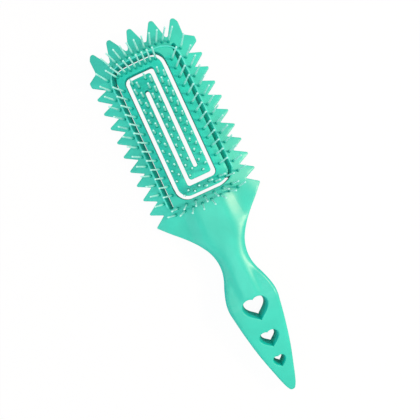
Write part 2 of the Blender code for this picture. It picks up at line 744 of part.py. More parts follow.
def build_handle(parts, cutters):
    stations = body_stations()
    front = loft("handle_front_shell", [section(y) for y in stations], parts)
    back = loft("handle_back_shell", [section(y) for y in stations if y < HEAD_ENDS], parts)
    outline = flat_solid("head_outline", [head_outline()], CUT_LOW, CUT_HIGH, cutters, HEAD_Y)
    combine(front, "INTERSECT", outline)
    rim = head_solid("rim", [rim_outline()], -RING_DEPTH / 2, RIM_RISE, cutters, PAD_Y - HEAD_Y)
    combine(front, "UNION", rim)
    opening = head_solid("pad_opening", [on_pad(pad_opening())], OPENING_CUT_LOW,
                         OPENING_CUT_HIGH, cutters, PAD_Y - HEAD_Y)
    combine(front, "DIFFERENCE", opening)

    cut_y = BACK_BEGINS + HEAD_Y
    below = box("back_space", (-CUT_WIDE, TAIL_Y - CUT_PAST, CUT_LOW),
                (CUT_WIDE, cut_y, PARTING_HEIGHT + GAP / 2), cutters)
    combine(front, "DIFFERENCE", below)
    above = box("front_space", (-CUT_WIDE, TAIL_Y - CUT_PAST, PARTING_HEIGHT - GAP / 2),
                (CUT_WIDE, HEAD_Y, CUT_HIGH), cutters)
    combine(back, "DIFFERENCE", above)
    ahead = box("neck_space", (-CUT_WIDE, cut_y - GAP, CUT_LOW), (CUT_WIDE, HEAD_Y, CUT_HIGH),
                cutters)
    combine(back, "DIFFERENCE", ahead)

    hollow_stations = [y for y in stations if HOLLOW_ENDS < y < HOLLOW_BEGINS]
    hollow_stations = [HOLLOW_BEGINS] + hollow_stations + [HOLLOW_ENDS]
    hollow = loft("handle_hollow", [section(y, WALL) for y in hollow_stations], cutters)
    for number, (place, width, length) in enumerate(HEARTS):
        if place > HOLLOW_ENDS:
            tube = flat_solid(f"heart_tube_{number + 1}",
                              [heart_outline(place, width, length, HEART_WALL)],
                              CUT_LOW, CUT_HIGH, cutters, HEAD_Y)
            combine(hollow, "DIFFERENCE", tube)
    combine(front, "DIFFERENCE", hollow)
    combine(back, "DIFFERENCE", hollow)

    for number, place in enumerate(PEG_PLACES):
        y = place + HEAD_Y
        boss = post(f"boss_{number + 1}", BOSS_RADIUS, 0.0, y, PARTING_HEIGHT + GAP / 2,
                    smooth_through(HANDLE_TOPS, place) - WALL / 2, cutters)
        combine(front, "UNION", boss)
        socket = post(f"socket_{number + 1}", PEG_RADIUS + GAP, 0.0, y, PARTING_HEIGHT - GAP,
                      PEG_TOP + GAP, cutters)
        combine(front, "DIFFERENCE", socket)
        peg = post(f"peg_{number + 1}", PEG_RADIUS, 0.0, y, WALL / 2, PEG_TOP, cutters)
        combine(back, "UNION", peg)

    for number, (place, width, length) in enumerate(HEARTS):
        heart = flat_solid(f"heart_{number + 1}", [heart_outline(place, width, length)],
                           CUT_LOW, CUT_HIGH, cutters, HEAD_Y)
        combine(front, "DIFFERENCE", heart)
        combine(back, "DIFFERENCE", heart)
    return front, back


def build_strip(name, outline, groove_outline, places, front, parts, cutters, along_step=None):
    """A pin strip set in a groove of the frame."""
    shift = PAD_Y - HEAD_Y
    groove = head_solid(name + "_groove", [groove_outline], -SHEET_DEPTH - GAP,
                        GROOVE_CUT_HIGH, cutters, shift, along_step)
    combine(front, "DIFFERENCE", groove)
    strip = head_solid(name, [outline], -SHEET_DEPTH, 0.0, parts, shift, along_step)
    pins = pins_object(name + "_row", places, cutters)
    combine(strip, "UNION", pins)
    return strip


def build_sheet(name, outline, places, parts, cutters):
    """A pin sheet, the top layer of a bar."""
    sheet = head_solid(name, [on_pad(outline)], -SHEET_DEPTH, 0.0, parts, PAD_Y - HEAD_Y)
    pins = pins_object(name + "_row", places, cutters)
    combine(sheet, "UNION", pins)
    return sheet


def build_bars(name, outline, parts):
    top = -SHEET_DEPTH - GAP
    return head_solid(name, [on_pad(outline)], -BAR_DEPTH, top, parts, PAD_Y - HEAD_Y)


def set_origin(thing, point):
    """Moves an object's origin without moving its shape."""
    place = Vector(point)
    thing.data.transform(Matrix.Translation(-place))
    thing.location = place


def build():
    clear_scene()
    parts = make_collection("styling_brush")
    cutters = make_collection("cutters")
    front, _ = build_handle(parts, cutters)

    side_path = side_strip_path()
    for side, name in ((1, "edge_pins_right"), (-1, "edge_pins_left")):
        outline = [(side * x, y) for x, y in band(side_path, STRIP_WIDTH)]
        groove = [(side * x, y) for x, y in band(side_path, STRIP_WIDTH, GAP)]
        places = strip_pin_places(side_path, EDGE_PIN_PITCH, side, EDGE_PIN_LEAN)
        build_strip(name, outline, groove, places, front, parts, cutters)
    crown_path = crown_strip_path()
    places = strip_pin_places(crown_path, CROWN_PIN_PITCH, 1, CROWN_PIN_LEAN)
    build_strip("crown_pins", band(crown_path, STRIP_WIDTH), band(crown_path, STRIP_WIDTH, GAP),
                places, front, parts, cutters, along_step=CROWN_STEP)
    middle = -CHANNEL_END - NECK_STRIP_AWAY
    neck_path = [Vector((-NECK_STRIP_HALF, middle)), Vector((NECK_STRIP_HALF, middle))]
    build_strip("neck_pins", band(neck_path, NECK_STRIP_WIDTH), band(neck_path, NECK_STRIP_WIDTH, GAP),
                neck_pin_places(), front, parts, cutters)

    island = build_bars("pad_island", island_outline(), parts)
    island_pins = build_sheet("island_pins", island_outline(), island_pin_places(), parts, cutters)
    left = [build_bars("pad_arm_left", arm_outline(), parts),
            build_sheet("left_bar_pins", bar_sheet_outline(), outer_pin_places(-1), parts, cutters),
            build_sheet("top_bar_pins", end_sheet_outline(), end_pin_places(1), parts, cutters)]
    right = [build_bars("pad_arm_right", half_turn(arm_outline()), parts),
             build_sheet("right_bar_pins", half_turn(bar_sheet_outline()), outer_pin_places(1),
                         parts, cutters),
             build_sheet("bottom_bar_pins", half_turn(end_sheet_outline()), end_pin_places(-1),
                         parts, cutters)]

    hinge_z = PAD_TOP - side_drop(OUTER_BAR_FROM) - BAR_DEPTH / 2
    for pieces, side in ((left, -1), (right, 1)):
        for piece in pieces:
            set_origin(piece, (0.0, PAD_Y + side * (ARM_ROOT - GAP / 2), hinge_z))
    for piece in (island, island_pins):
        set_origin(piece, (0.0, PAD_Y, PAD_TOP))

    for cutter in cutters.objects:
        cutter.hide_render = True
        cutter.display_type = "WIRE"
    for part in parts.objects:
        part.data.materials.clear()
        part.data.materials.append(plastic(part.name + "_plastic"))


build()
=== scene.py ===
import math

import bpy
import numpy as np
from mathutils import Matrix, Vector


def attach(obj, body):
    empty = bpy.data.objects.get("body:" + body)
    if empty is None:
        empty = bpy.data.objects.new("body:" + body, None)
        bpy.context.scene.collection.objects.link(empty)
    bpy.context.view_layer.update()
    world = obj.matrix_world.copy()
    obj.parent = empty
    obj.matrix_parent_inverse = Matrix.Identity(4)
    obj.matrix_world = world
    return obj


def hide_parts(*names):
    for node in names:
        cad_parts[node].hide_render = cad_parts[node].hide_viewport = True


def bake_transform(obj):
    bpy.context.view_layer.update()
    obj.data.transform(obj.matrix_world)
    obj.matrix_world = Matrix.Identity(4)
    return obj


# Places and sizes of the brush, lengths in metres. TAIL_Y, HEAD_Y and PAD_Y are places in the
# part's frame. Other places along the brush count from the middle of the head, or of the pad for
# what is on the pad.
TAIL_Y = -0.11685
HEAD_Y = 0.05605
PAD_Y = HEAD_Y - 0.0023
PAD_SHIFT = -0.0014
LEFT_SHIFT_KEPT = 0.25
PAD_TOP = 0.0100
FLAT_HALF = 0.003
SLOPE_HALF = 0.016
SIDE_SLOPE = 0.30
CROWN_BEND = 0.043
CROWN_CURVE = 0.09346
RING_DEPTH = 0.0054
FLANGE_DEPTH = 0.0020
RING_HALF = 0.0234
FLANGE_HALF = 0.0270
RIM_WIDTH = 0.0011
RIM_RISE = 0.0007

TOOTH_COUNT = 10
TOOTH_TIP_X = 0.0346
TOOTH_ROOT_X = 0.0272
TOOTH_TIP_PITCH = 0.00949
TOOTH_ROOT_PITCH = 0.00914
FIRST_TIP_Y = 0.0408
FIRST_ROOT_Y = 0.03385
FIRST_TIP_LENGTH = 0.0028
TOOTH_TIP_RADIUS = 0.0008
TOOTH_ROOT_RADIUS = 0.0004
SHOULDER_X = 0.0340
SHOULDER_Y = -0.0538
CORNER_X = 0.0287
CORNER_Y = 0.0454
CROWN_TIPS = ((0.0, 0.06083), (0.0140, 0.0602), (0.0266, 0.0575))
CROWN_ROOTS = ((0.0059, 0.0484), (0.0187, 0.0469))
CROWN_TIP_RADIUS = 0.0017
CROWN_ROOT_RADIUS = 0.0011
CROWN_SIDE_X = 0.0290
CROWN_SIDE_Y = 0.0545

CENTRE_BAR_HALF = 0.0027
INNER_BAR_FROM = 0.0052
INNER_BAR_TO = 0.0112
OUTER_BAR_FROM = 0.0139
OUTER_BAR_TO = 0.0191
CHANNEL_TO = 0.0216
LEFT_CHANNEL_TO = 0.02185
TOP_DEAD_END = 0.0247
LOW_DEAD_END = 0.0276
ISLAND_END = 0.0335
END_BAR_FROM = 0.0364
END_BAR_TO = 0.0419
CHANNEL_END = 0.0445
LOW_CHANNEL_END = 0.0437
LOW_RIGHT_CORNER = 0.0095
LOW_LEFT_CORNER = 0.0080
RIGHT_WALL_DRAFT = 1.5
LEFT_WALL_DRAFT = 1.4
TOP_WALL_DRAFT = 0.0005
RIGHT_LIP_END = 0.0370
CHANNEL_START = 0.0435
ARM_ROOT = 0.0383
BAR_DEPTH = 0.0046
OUTER_CORNER = 0.0065
INNER_CORNER = 0.0016
SLOT_END_RADIUS = 0.0011

PIN_HEIGHT = 0.0145
ISLAND_PIN_HEIGHT = 0.0118
PIN_FOOT_RADIUS = 0.00065
BAR_PIN_PITCH = 0.0062
BAR_PIN_SPREAD = 0.0027
OUTER_PIN_PITCH = 0.0056
OUTER_PIN_SHIFT = -0.0008
END_PIN_PITCH = 0.0032
EDGE_PIN_PITCH = 0.00615
NECK_PIN_PITCH = 0.0058
CROWN_PIN_PITCH = 0.0037
OUTER_PIN_LEAN = math.radians(17)
EDGE_PIN_LEAN = math.radians(15)
SIDE_PIN_LEAN_UP = math.radians(4)
CROWN_PIN_LEAN = math.radians(8)
CROWN_FANS = (math.radians(7), math.radians(15))
FAN_REACH = 0.014
NECK_PIN_LEAN = math.radians(11)
NECK_PIN_SHIFT = 0.0005
NECK_END_PIN_LEAN = math.radians(10)
STRIP_AWAY = 0.0026
STRIP_CORNER = 0.0105
NECK_STRIP_AWAY = 0.0031
NECK_STRIP_HALF = 0.0225
NECK_PIN_SPREAD = 0.0032
SIDE_STRIP_LOW = -0.0440
CORNER_PARTS = 3
EDGE_PINS_TURN = (0, 42)
CROWN_PINS_TURN = (48, 90)

# Half width, top and underside of the handle by place
HANDLE_WIDTHS = (
    (SHOULDER_Y, SHOULDER_X + 0.0003), (-0.0595, 0.0286), (-0.0657, 0.0221), (-0.0724, 0.0160),
    (-0.0789, 0.0117), (-0.0851, 0.0096), (-0.0916, 0.0092), (-0.0976, 0.0104), (-0.1034, 0.0127),
    (-0.1108, 0.0150), (-0.1161, 0.0155), (-0.1213, 0.0148), (-0.1328, 0.0129), (-0.1466, 0.0100),
    (-0.1600, 0.0062), (-0.1688, 0.0034), (-0.1718, 0.0019), (TAIL_Y - HEAD_Y, 0.0008))
HANDLE_TOPS = (
    (-0.054, 0.0100), (-0.070, 0.0115), (-0.085, 0.0124), (-0.100, 0.0126), (-0.118, 0.0122),
    (-0.130, 0.0113), (-0.141, 0.0101), (-0.154, 0.0091), (-0.166, 0.0082), (-0.1710, 0.0076),
    (TAIL_Y - HEAD_Y, 0.0073))
HANDLE_BASES = ((-0.054, -0.0005), (-0.158, -0.0005), (-0.168, 0.0014), (TAIL_Y - HEAD_Y, 0.0052))
HANDLE_EDGE_BEGINS = -0.0560
HANDLE_EDGE_ENDS = -0.1705
HANDLE_EDGE_STEP = 0.0015
TAIL_SHORT = 0.00005
TAIL_RADIUS = 0.0005
BASE_SWELL_POWER = 0.8
NECK_FOLD_BEGINS = -0.0440
NECK_FOLD_WHOLE = -0.0570
NECK_FOLD_GROWS = 0.7
NECK_FOLD_RUN = 0.012
NECK_FOLD_DROP = 0.0017
NECK_FOLD_FROM = 0.0065
NECK_FOLD_TO = 0.0175
NECK_SIDE_RISE = 0.0013
NECK_SIDE_FROM = 0.0165
NECK_SIDE_TO = 0.0290
SLAB_BEGINS = -0.0880
SLAB_WHOLE = -0.1060
SLAB_SQUARENESS = 26
RIDGE_HEIGHT = 0.0013
RIDGE_FROM = 0.0034
RIDGE_TO = 0.0078
RIDGE_BEGINS = -0.0900
RIDGE_WHOLE = -0.1000
RIDGE_FADES = -0.1095
RIDGE_ENDS = -0.1150
HEAD_ENDS = -0.054
HANDLE_BEGINS = -0.084
EDGE_HEIGHT = 0.0064
EDGE_BAND = 0.0006
PARTING_HEIGHT = 0.0061
BACK_BEGINS = -0.0860
LEAF_HALF = max(half for place, half in HANDLE_WIDTHS if place < BACK_BEGINS)
BACK_STEP_RUN = 0.00005
BACK_STEP_SLACK = 0.00002
GAP = 0.0003
SEAM_REACH = 0.0008

# Hearts by place, width, length and how fast the opening narrows with depth, and their common curve
HEARTS = (
    (-0.1194, 0.0156, 0.0147, 0.12),
    (-0.1390, 0.0121, 0.0106, 0.18),
    (-0.1537, 0.0079, 0.0075, 0.18))
HEART_STEPS = 44
HALF_HEART = HEART_STEPS // 2
HEART_RISE = 0.14
HEART_LOBE_POWER = 2.4
HEART_WAVES = (13.0, -2.6, -1.2, -0.5)
HEART_WAVE_SPAN = 13.4

# Fineness and edge rounding of the dressed pieces
CLOSE = 1e-6
VERY_CLOSE = 1e-9
NO_LENGTH = 1e-16
STRAIGHT_ANGLE = 0.01
POINTS_AT_ONCE = 2000
SMOOTH_UP_TO = math.radians(42)
ARC_STEP = 0.0006
ARC_EXTRA = 0.0006
EDGE_RADIUS = 0.00045
LOW_EDGE_RADIUS = 0.00035
PARTING_EDGE = 0.00008
LIP_RADIUS = 0.0005
LIP_SINK = 0.0010
LIP_LAP = 0.00003
LIP_END_RADIUS = 0.0003
SHEET_DRAWN = 0.001
ROUNDING_SHARES = (0.134, 0.366, 0.5)
ROUNDING_PLACES = (0.134, 0.5, 1.0)
ALONG_STEP = 0.0025
CREST_CUTS = (
    0.0, 0.0005, 0.001, 0.0015, 0.00225, 0.003, 0.004, 0.005, 0.00625, 0.0075, 0.009, 0.0098, 0.0105,
    0.0113, 0.0122, 0.0131, 0.0140)
FLANK_CUTS_FROM = 0.0156
FLANK_CUT_STEP = 0.0017
FLANK_CUT_COUNT = 12
PAD_CUTS = (0.0015, 0.0068, 0.0082, 0.0096, 0.0155, 0.0165, 0.0175)
LIP_CUTS = (0.004, 0.008, 0.012, 0.0145, 0.017, 0.0195)
PLATE_LOW = -0.0455
PLATE_HIGH = 0.0485
WALL_LEAN_REACH = 0.003
BAR_LEAN_KEPT = 0.25

# The moulded pin: rings by height over its foot, or by depth under its tip, and their radius
PIN_SIDES = 8
PIN_ROOT_DEPTH = 0.0010
PIN_ROOT_RADIUS = 0.00095
PIN_FOOT_RINGS = ((0.0003, 0.00080), (0.0009, 0.00068))
PIN_MIDDLE = 0.45
PIN_MIDDLE_RADIUS = 0.00054
PIN_TIP_RINGS = (
    (0.0018, 0.00046), (0.0011, 0.00056), (0.0006, 0.00058), (0.0002, 0.00040), (0.0, 0.00016))
PIN_SMOOTH_UP_TO = math.radians(60)

# Camera over the brush, found from the photo's perspective
CAMERA_TURN = -24.65
CAMERA_PLACE = (-0.0030, 0.01765, 0.2356)
FRAME_PIXELS = 420
FOCAL_PIXELS = 387.6
CENTRE_PIXEL = (193.4, 183.7)
SENSOR_WIDTH = 36.0
CLIP_START = 0.01

# Finishes of the moulding compound: colour, roughness and, for the pins, the colour of their painted
# tip highlight
MINT = (0.045, 0.67, 0.525)
# The pad's mint is darker and less red than the body's: painted shade among the dense pins.
PAD_MINT_PAINTED_SHADE = (0.016, 0.66, 0.52)
# The lip's paler mint is a painted highlight along the opening's edge.
LIP_PAINTED_HIGHLIGHT = (0.10, 0.80, 0.68)
# The pins' pale tips are a painted highlight.
PAINTED_TIP_HIGHLIGHT = (0.46, 0.95, 0.90)
FINISHES = {
    "mint_moulding": (MINT, 0.34),
    "mint_pad_painted_shade": (PAD_MINT_PAINTED_SHADE, 0.32),
    "mint_lip_painted_highlight": (LIP_PAINTED_HIGHLIGHT, 0.32),
    "mint_pins_painted_shade_and_highlight": (PAD_MINT_PAINTED_SHADE, 0.26, PAINTED_TIP_HIGHLIGHT)}
PLASTIC_IOR = 1.49
PLAIN_GLOSS = 0.5

# Faint flow marks in the colour, swirls in the gloss, and a fine grain in the surface
FLOW_MARKS = {"Scale": 38.0, "Detail": 4.0, "Distortion": 0.6}
FLOW_FROM = 0.30
FLOW_TO = 0.70
FLOW_DARKEST = 0.90
FLOW_PALEST = 1.07
SWIRLS = {"Scale": 260.0, "Detail": 2.0}
SWIRL_SMOOTHER = 0.04
SWIRL_ROUGHER = 0.05
GRAIN = {"Scale": 1900.0, "Detail": 3.0}
GRAIN_SHARE = 0.25
GRAIN_BUMP = {"Strength": 0.10, "Distance": 0.00008}

# Steep walls: their colour, a painted glow for light through the plastic in their shade, their gloss,
# and how level a surface is that is all wall or no wall
PAINTED_WALL_GLOW = (0.005, 0.68, 0.60)
WALL_GLOSS = 0.22
WALL_FROM = 0.2
WALL_TO = 0.6

# Pins: painted shade at the foot and a painted highlight over the paler rest, by shares of a pin's
# height
# The dark foot colour is painted shade where the pin meets the pad.
PAINTED_FOOT_SHADE = (0.003, 0.30, 0.25)
FOOT_SHADE_SHARE = 0.14
FOOT_SHADE_STRENGTH = 0.9
TIP_HIGHLIGHT_FROM = 0.10
TIP_HIGHLIGHT_TO = 0.35

# Studio light: the levels of the white room and floor, then lamps by place, size, watts and colour
WHITE = (1.0, 1.0, 1.0)
WORLD_LEVEL = 0.62
WORLD_MIRRORED = 0.16
FLOOR_SEEN = 0.96
FLOOR_MIRRORED = 0.08
FLOOR_SIZE = 3.0
FLOOR_DROP = 0.0003
PAPER = {"Base Color": (0.92, 0.92, 0.92, 1.0), "Roughness": 0.9, "Specular IOR Level": 0.1}
LAMPS = (
    ("key_lamp", (0.575, -0.10, 0.40), 0.18, 3.2, (1.0, 0.68, 0.50)),
    ("tail_lamp", (0.0, -0.12, 0.65), 0.45, 0.8, WHITE),
    ("left_lamp", (-0.58, -0.06, 0.28), 0.50, 0.7, WHITE))


def smooth_step(value):
    """Eases from 0 to 1 as the value goes from 0 to 1."""
    held = min(max(value, 0.0), 1.0)
    return held * held * (3.0 - 2.0 * held)


def smooth_through(points, place):
    """Height of a smooth curve through points whose places run downwards."""
    if place >= points[0][0]:
        return points[0][1]
    for number in range(len(points) - 1):
        (start, low), (end, high) = points[number], points[number + 1]
        if place >= end - VERY_CLOSE:
            break
    before = points[max(number - 1, 0)]
    after = points[min(number + 2, len(points) - 1)]
    slope_start = (high - before[1]) / (end - before[0])
    slope_end = (after[1] - low) / (after[0] - start)
    span = end - start
    share = (place - start) / span
    keep = share * share
    cube = keep * share
    return ((2 * cube - 3 * keep + 1) * low + (cube - 2 * keep + share) * span * slope_start
            + (3 * keep - 2 * cube) * high + (cube - keep) * span * slope_end)


def side_drop(x):
    """How far the head's surface lies under its middle line, towards the sides."""
    across = abs(x)
    run = SLOPE_HALF - FLAT_HALF
    share = min(max((across - FLAT_HALF) / run, 0.0), 1.0)
    bent = SIDE_SLOPE * run * (share ** 3 - share ** 4 / 2)
    return bent + SIDE_SLOPE * max(across - SLOPE_HALF, 0.0)


def side_slope(x):
    """How steeply the head's surface falls towards the sides."""
    run = SLOPE_HALF - FLAT_HALF
    return math.copysign(SIDE_SLOPE * smooth_step((abs(x) - FLAT_HALF) / run), x)


def crown_drop(y):
    """How far the head's surface bends down towards the crown."""
    past = max(y - CROWN_BEND, 0.0)
    return past * past / CROWN_CURVE


def on_head(x, y, height):
    """A point at a height over the head's crowned surface; y from the head's centre."""
    lean = math.atan(side_slope(x))
    z = PAD_TOP - side_drop(x) - crown_drop(y)
    return Vector((x + height * math.sin(lean), y + HEAD_Y, z + height * math.cos(lean)))


def pad_place(x):
    """The pad's bars lie to one side of the middle, inside a frame that doesn't."""
    share = smooth_step((abs(x) - OUTER_BAR_FROM) / (OUTER_BAR_TO - OUTER_BAR_FROM))
    if x < 0.0:
        share *= 1 - LEFT_SHIFT_KEPT
    return x + PAD_SHIFT * (1 - share)


# Outlines

def rounded(corners):
    """Outline through corners (x, y, radius), each corner rounded by an arc."""
    outline = []
    count = len(corners)
    for number, (x, y, radius) in enumerate(corners):
        here = Vector((x, y))
        if radius <= 0.0:
            outline.append((x, y))
            continue
        to_last = (Vector(corners[number - 1][:2]) - here).normalized()
        to_next = (Vector(corners[(number + 1) % count][:2]) - here).normalized()
        half_angle = to_last.angle(to_next) / 2
        reach = radius / math.tan(half_angle)
        centre = here + (to_last + to_next).normalized() * (radius / math.sin(half_angle))
        start = here + to_last * reach - centre
        turn = start.angle_signed(here + to_next * reach - centre)
        steps = max(2, round(abs(turn) * (radius + ARC_EXTRA) / ARC_STEP))
        for step in range(steps + 1):
            arm = start.copy()
            arm.rotate(Matrix.Rotation(-turn * step / steps, 2))
            outline.append(tuple(centre + arm))
    return outline


def sharpened(corners, rounds=4):
    """Moves each corner out, so that its rounded tip ends where the corner was."""
    moved = [Vector((x, y)) for x, y, _ in corners]
    count = len(corners)
    for _ in range(rounds):
        last = [point.copy() for point in moved]
        for number, (x, y, radius) in enumerate(corners):
            if radius <= 0.0:
                continue
            here = last[number]
            to_last = (last[number - 1] - here).normalized()
            to_next = (last[(number + 1) % count] - here).normalized()
            half_angle = to_last.angle(to_next) / 2
            past = radius / math.sin(half_angle) - radius
            moved[number] = Vector((x, y)) - (to_last + to_next).normalized() * past
    return [(point.x, point.y, corner[2]) for point, corner in zip(moved, corners)]


def turned(corners):
    """The same corners after half a turn about the middle."""
    return [(-x, -y, radius) for x, y, radius in corners]


def half_turn(loop):
    return [(-x, -y) for x, y in loop]


def mirrored(corners):
    """The same corners on the other side, in the order that closes an outline."""
    return [(-x, y, radius) for x, y, radius in reversed(corners)]


def handle_edge(start):
    """Corners down the right edge of the handle, from a place below the shoulder to the tail."""
    points = []
    place = start
    while place > HANDLE_EDGE_ENDS:
        points.append((smooth_through(HANDLE_WIDTHS, place), place, 0.0))
        place -= HANDLE_EDGE_STEP
    (last, last_half), (tail, tail_half) = HANDLE_WIDTHS[-2:]
    return points + [(last_half, last, 0.0), (tail_half, tail + TAIL_SHORT, TAIL_RADIUS)]


def body_outline():
    """Teeth all round the head, then the neck and the handle down to the tail."""
    crown = [(x, y, CROWN_TIP_RADIUS) for x, y in CROWN_TIPS]
    roots = [(x, y, CROWN_ROOT_RADIUS) for x, y in CROWN_ROOTS]
    right = [crown[0], roots[0], crown[1], roots[1], crown[2],
             (CROWN_SIDE_X, CROWN_SIDE_Y, CROWN_TIP_RADIUS),
             (CORNER_X, CORNER_Y, TOOTH_ROOT_RADIUS),
             (TOOTH_TIP_X, FIRST_TIP_Y + FIRST_TIP_LENGTH / 2, TOOTH_TIP_RADIUS),
             (TOOTH_TIP_X, FIRST_TIP_Y - FIRST_TIP_LENGTH / 2, TOOTH_TIP_RADIUS)]
    for number in range(TOOTH_COUNT):
        right.append((TOOTH_ROOT_X, FIRST_ROOT_Y - number * TOOTH_ROOT_PITCH, TOOTH_ROOT_RADIUS))
        if number < TOOTH_COUNT - 1:
            right.append((TOOTH_TIP_X, FIRST_TIP_Y - (number + 1) * TOOTH_TIP_PITCH,
                          TOOTH_TIP_RADIUS))
    right.append((SHOULDER_X, SHOULDER_Y, TOOTH_TIP_RADIUS))
    right += handle_edge(HANDLE_EDGE_BEGINS)
    return rounded(sharpened(right + mirrored(right[1:])))


def back_outline():
    """The handle's back half, from where it meets the front half to the tail."""
    right = handle_edge(BACK_BEGINS - GAP)
    return rounded(right + mirrored(right))


def heart_outline(place, width, length):
    """Heart with its lobes towards the head, drawn flat before the handle is given its swell.
    The steps beside the cleft and the tip are left out, because the points crowd there."""
    loop = []
    for step in range(HEART_STEPS):
        if min(step % HALF_HEART, -step % HALF_HEART) == 1:
            continue
        angle = 2 * math.pi * step / HEART_STEPS
        across = math.copysign(abs(math.sin(angle)) ** HEART_LOBE_POWER, math.sin(angle))
        wave = sum(part * math.cos(number * angle) for number, part in enumerate(HEART_WAVES, 1))
        along = wave / HEART_WAVE_SPAN + HEART_RISE
        x, y = across * width / 2, along * length / 2 + place
        half = smooth_through(HANDLE_WIDTHS, y)
        loop.append((half * math.asin(x / half) * 2 / math.pi, y))
    return loop


def pad_opening():
    """Opening of the frame: down the right channel, along the low one, round the left arm's root,
    up the left channel, along the top one and round the right arm's root."""
    top, low = CHANNEL_START + SLOT_END_RADIUS, -CHANNEL_START - SLOT_END_RADIUS
    return rounded([
        (CHANNEL_TO, top, SLOT_END_RADIUS),
        (CHANNEL_TO, -LOW_CHANNEL_END, LOW_RIGHT_CORNER),
        (-OUTER_BAR_FROM, -LOW_CHANNEL_END, LOW_LEFT_CORNER),
        (-OUTER_BAR_FROM, -ARM_ROOT, 0.0),
        (-OUTER_BAR_TO, -ARM_ROOT, 0.0),
        (-OUTER_BAR_TO, low, SLOT_END_RADIUS),
        (-LEFT_CHANNEL_TO, low, SLOT_END_RADIUS),
        (-LEFT_CHANNEL_TO, CHANNEL_END, OUTER_CORNER + CHANNEL_TO - OUTER_BAR_TO),
        (OUTER_BAR_FROM, CHANNEL_END, LOW_LEFT_CORNER),
        (OUTER_BAR_FROM, ARM_ROOT, 0.0),
        (OUTER_BAR_TO, ARM_ROOT, 0.0),
        (OUTER_BAR_TO, top, SLOT_END_RADIUS)])


def lip_outline():
    """The raised lip along both sides and over the top of the opening."""
    radius = OUTER_CORNER + CHANNEL_TO - OUTER_BAR_TO
    top = CHANNEL_END - LIP_LAP

    def side(reach, end):
        inner = reach - LIP_LAP
        return [(inner + RIM_WIDTH, top + RIM_WIDTH, radius + RIM_WIDTH),
                (inner + RIM_WIDTH, -end, LIP_END_RADIUS), (inner, -end, LIP_END_RADIUS),
                (inner, top, radius)]
    left = side(LEFT_CHANNEL_TO, CHANNEL_START)
    return rounded(side(CHANNEL_TO, RIGHT_LIP_END) + mirrored(left))


def island_outline():
    """The three middle bars, one strip folded round the blind ends of the two slots."""
    half = [(INNER_BAR_TO, ISLAND_END, 0.0),
            (INNER_BAR_TO, -ISLAND_END, INNER_CORNER),
            (-CENTRE_BAR_HALF, -ISLAND_END, INNER_CORNER)]
    slot = [(-CENTRE_BAR_HALF, TOP_DEAD_END, SLOT_END_RADIUS),
            (-INNER_BAR_FROM, TOP_DEAD_END, SLOT_END_RADIUS),
            (-INNER_BAR_FROM, -ISLAND_END, 0.0)]
    other_slot = [(CENTRE_BAR_HALF, -LOW_DEAD_END, SLOT_END_RADIUS),
                  (INNER_BAR_FROM, -LOW_DEAD_END, SLOT_END_RADIUS),
                  (INNER_BAR_FROM, ISLAND_END, 0.0)]
    return rounded(half + slot + turned(half) + other_slot)


def arm_outline():
    """Left bar and top bar, from the root in the frame to the island's right bar."""
    return rounded([
        (-OUTER_BAR_FROM, -ARM_ROOT, 0.0),
        (-OUTER_BAR_TO, -ARM_ROOT, 0.0),
        (-OUTER_BAR_TO, END_BAR_TO, OUTER_CORNER),
        (INNER_BAR_TO, END_BAR_TO, OUTER_CORNER),
        (INNER_BAR_TO, ISLAND_END, 0.0),
        (INNER_BAR_FROM, ISLAND_END, 0.0),
        (INNER_BAR_FROM, END_BAR_FROM, INNER_CORNER),
        (-OUTER_BAR_FROM, END_BAR_FROM, INNER_CORNER * 2)])


# Plates: a flat sheet is drawn, its edges are inset for rounding, it is cut finely and made thick

def only(thing):
    """Selects one thing alone and makes it the one that operators work on."""
    bpy.ops.object.select_all(action="DESELECT")
    thing.select_set(True)
    bpy.context.view_layer.objects.active = thing


def draw_sheet(name, loops):
    """A flat sheet inside the first loop, with the other loops as openings."""
    drawing = bpy.data.curves.new(name, "CURVE")
    drawing.dimensions = "2D"
    drawing.fill_mode = "BOTH"
    for loop in loops:
        line = drawing.splines.new("POLY")
        line.points.add(len(loop) - 1)
        for point, (x, y) in zip(line.points, loop):
            point.co = (x, y, 0.0, 1.0)
        line.use_cyclic_u = True
    sheet = bpy.data.objects.new(name, drawing)
    bpy.context.collection.objects.link(sheet)
    only(sheet)
    bpy.ops.object.convert(target="MESH")
    return bpy.context.object


def thicken_sheet(sheet, radius, across, along):
    """Insets the edges for their rounding, cuts the sheet at the given places, and gives it depth."""
    only(sheet)
    bpy.ops.object.mode_set(mode="EDIT")
    bpy.ops.mesh.select_all(action="SELECT")
    bpy.ops.mesh.remove_doubles(threshold=CLOSE)
    bpy.ops.mesh.dissolve_limited(angle_limit=STRAIGHT_ANGLE)
    bpy.ops.mesh.select_all(action="SELECT")
    for share in ROUNDING_SHARES:
        bpy.ops.mesh.inset(thickness=radius * share, depth=0.0, use_boundary=True,
                           use_even_offset=True)
    for places, direction in ((across, Vector((1, 0, 0))), (along, Vector((0, 1, 0)))):
        for place in places:
            bpy.ops.mesh.select_all(action="SELECT")
            bpy.ops.mesh.bisect(plane_co=direction * place, plane_no=direction, threshold=CLOSE)
    bpy.ops.mesh.select_all(action="SELECT")
    bpy.ops.mesh.extrude_region_move(TRANSFORM_OT_translate={"value": (0, 0, -SHEET_DRAWN)})
    bpy.ops.mesh.select_all(action="SELECT")
    bpy.ops.mesh.normals_make_consistent(inside=False)
    bpy.ops.object.mode_set(mode="OBJECT")


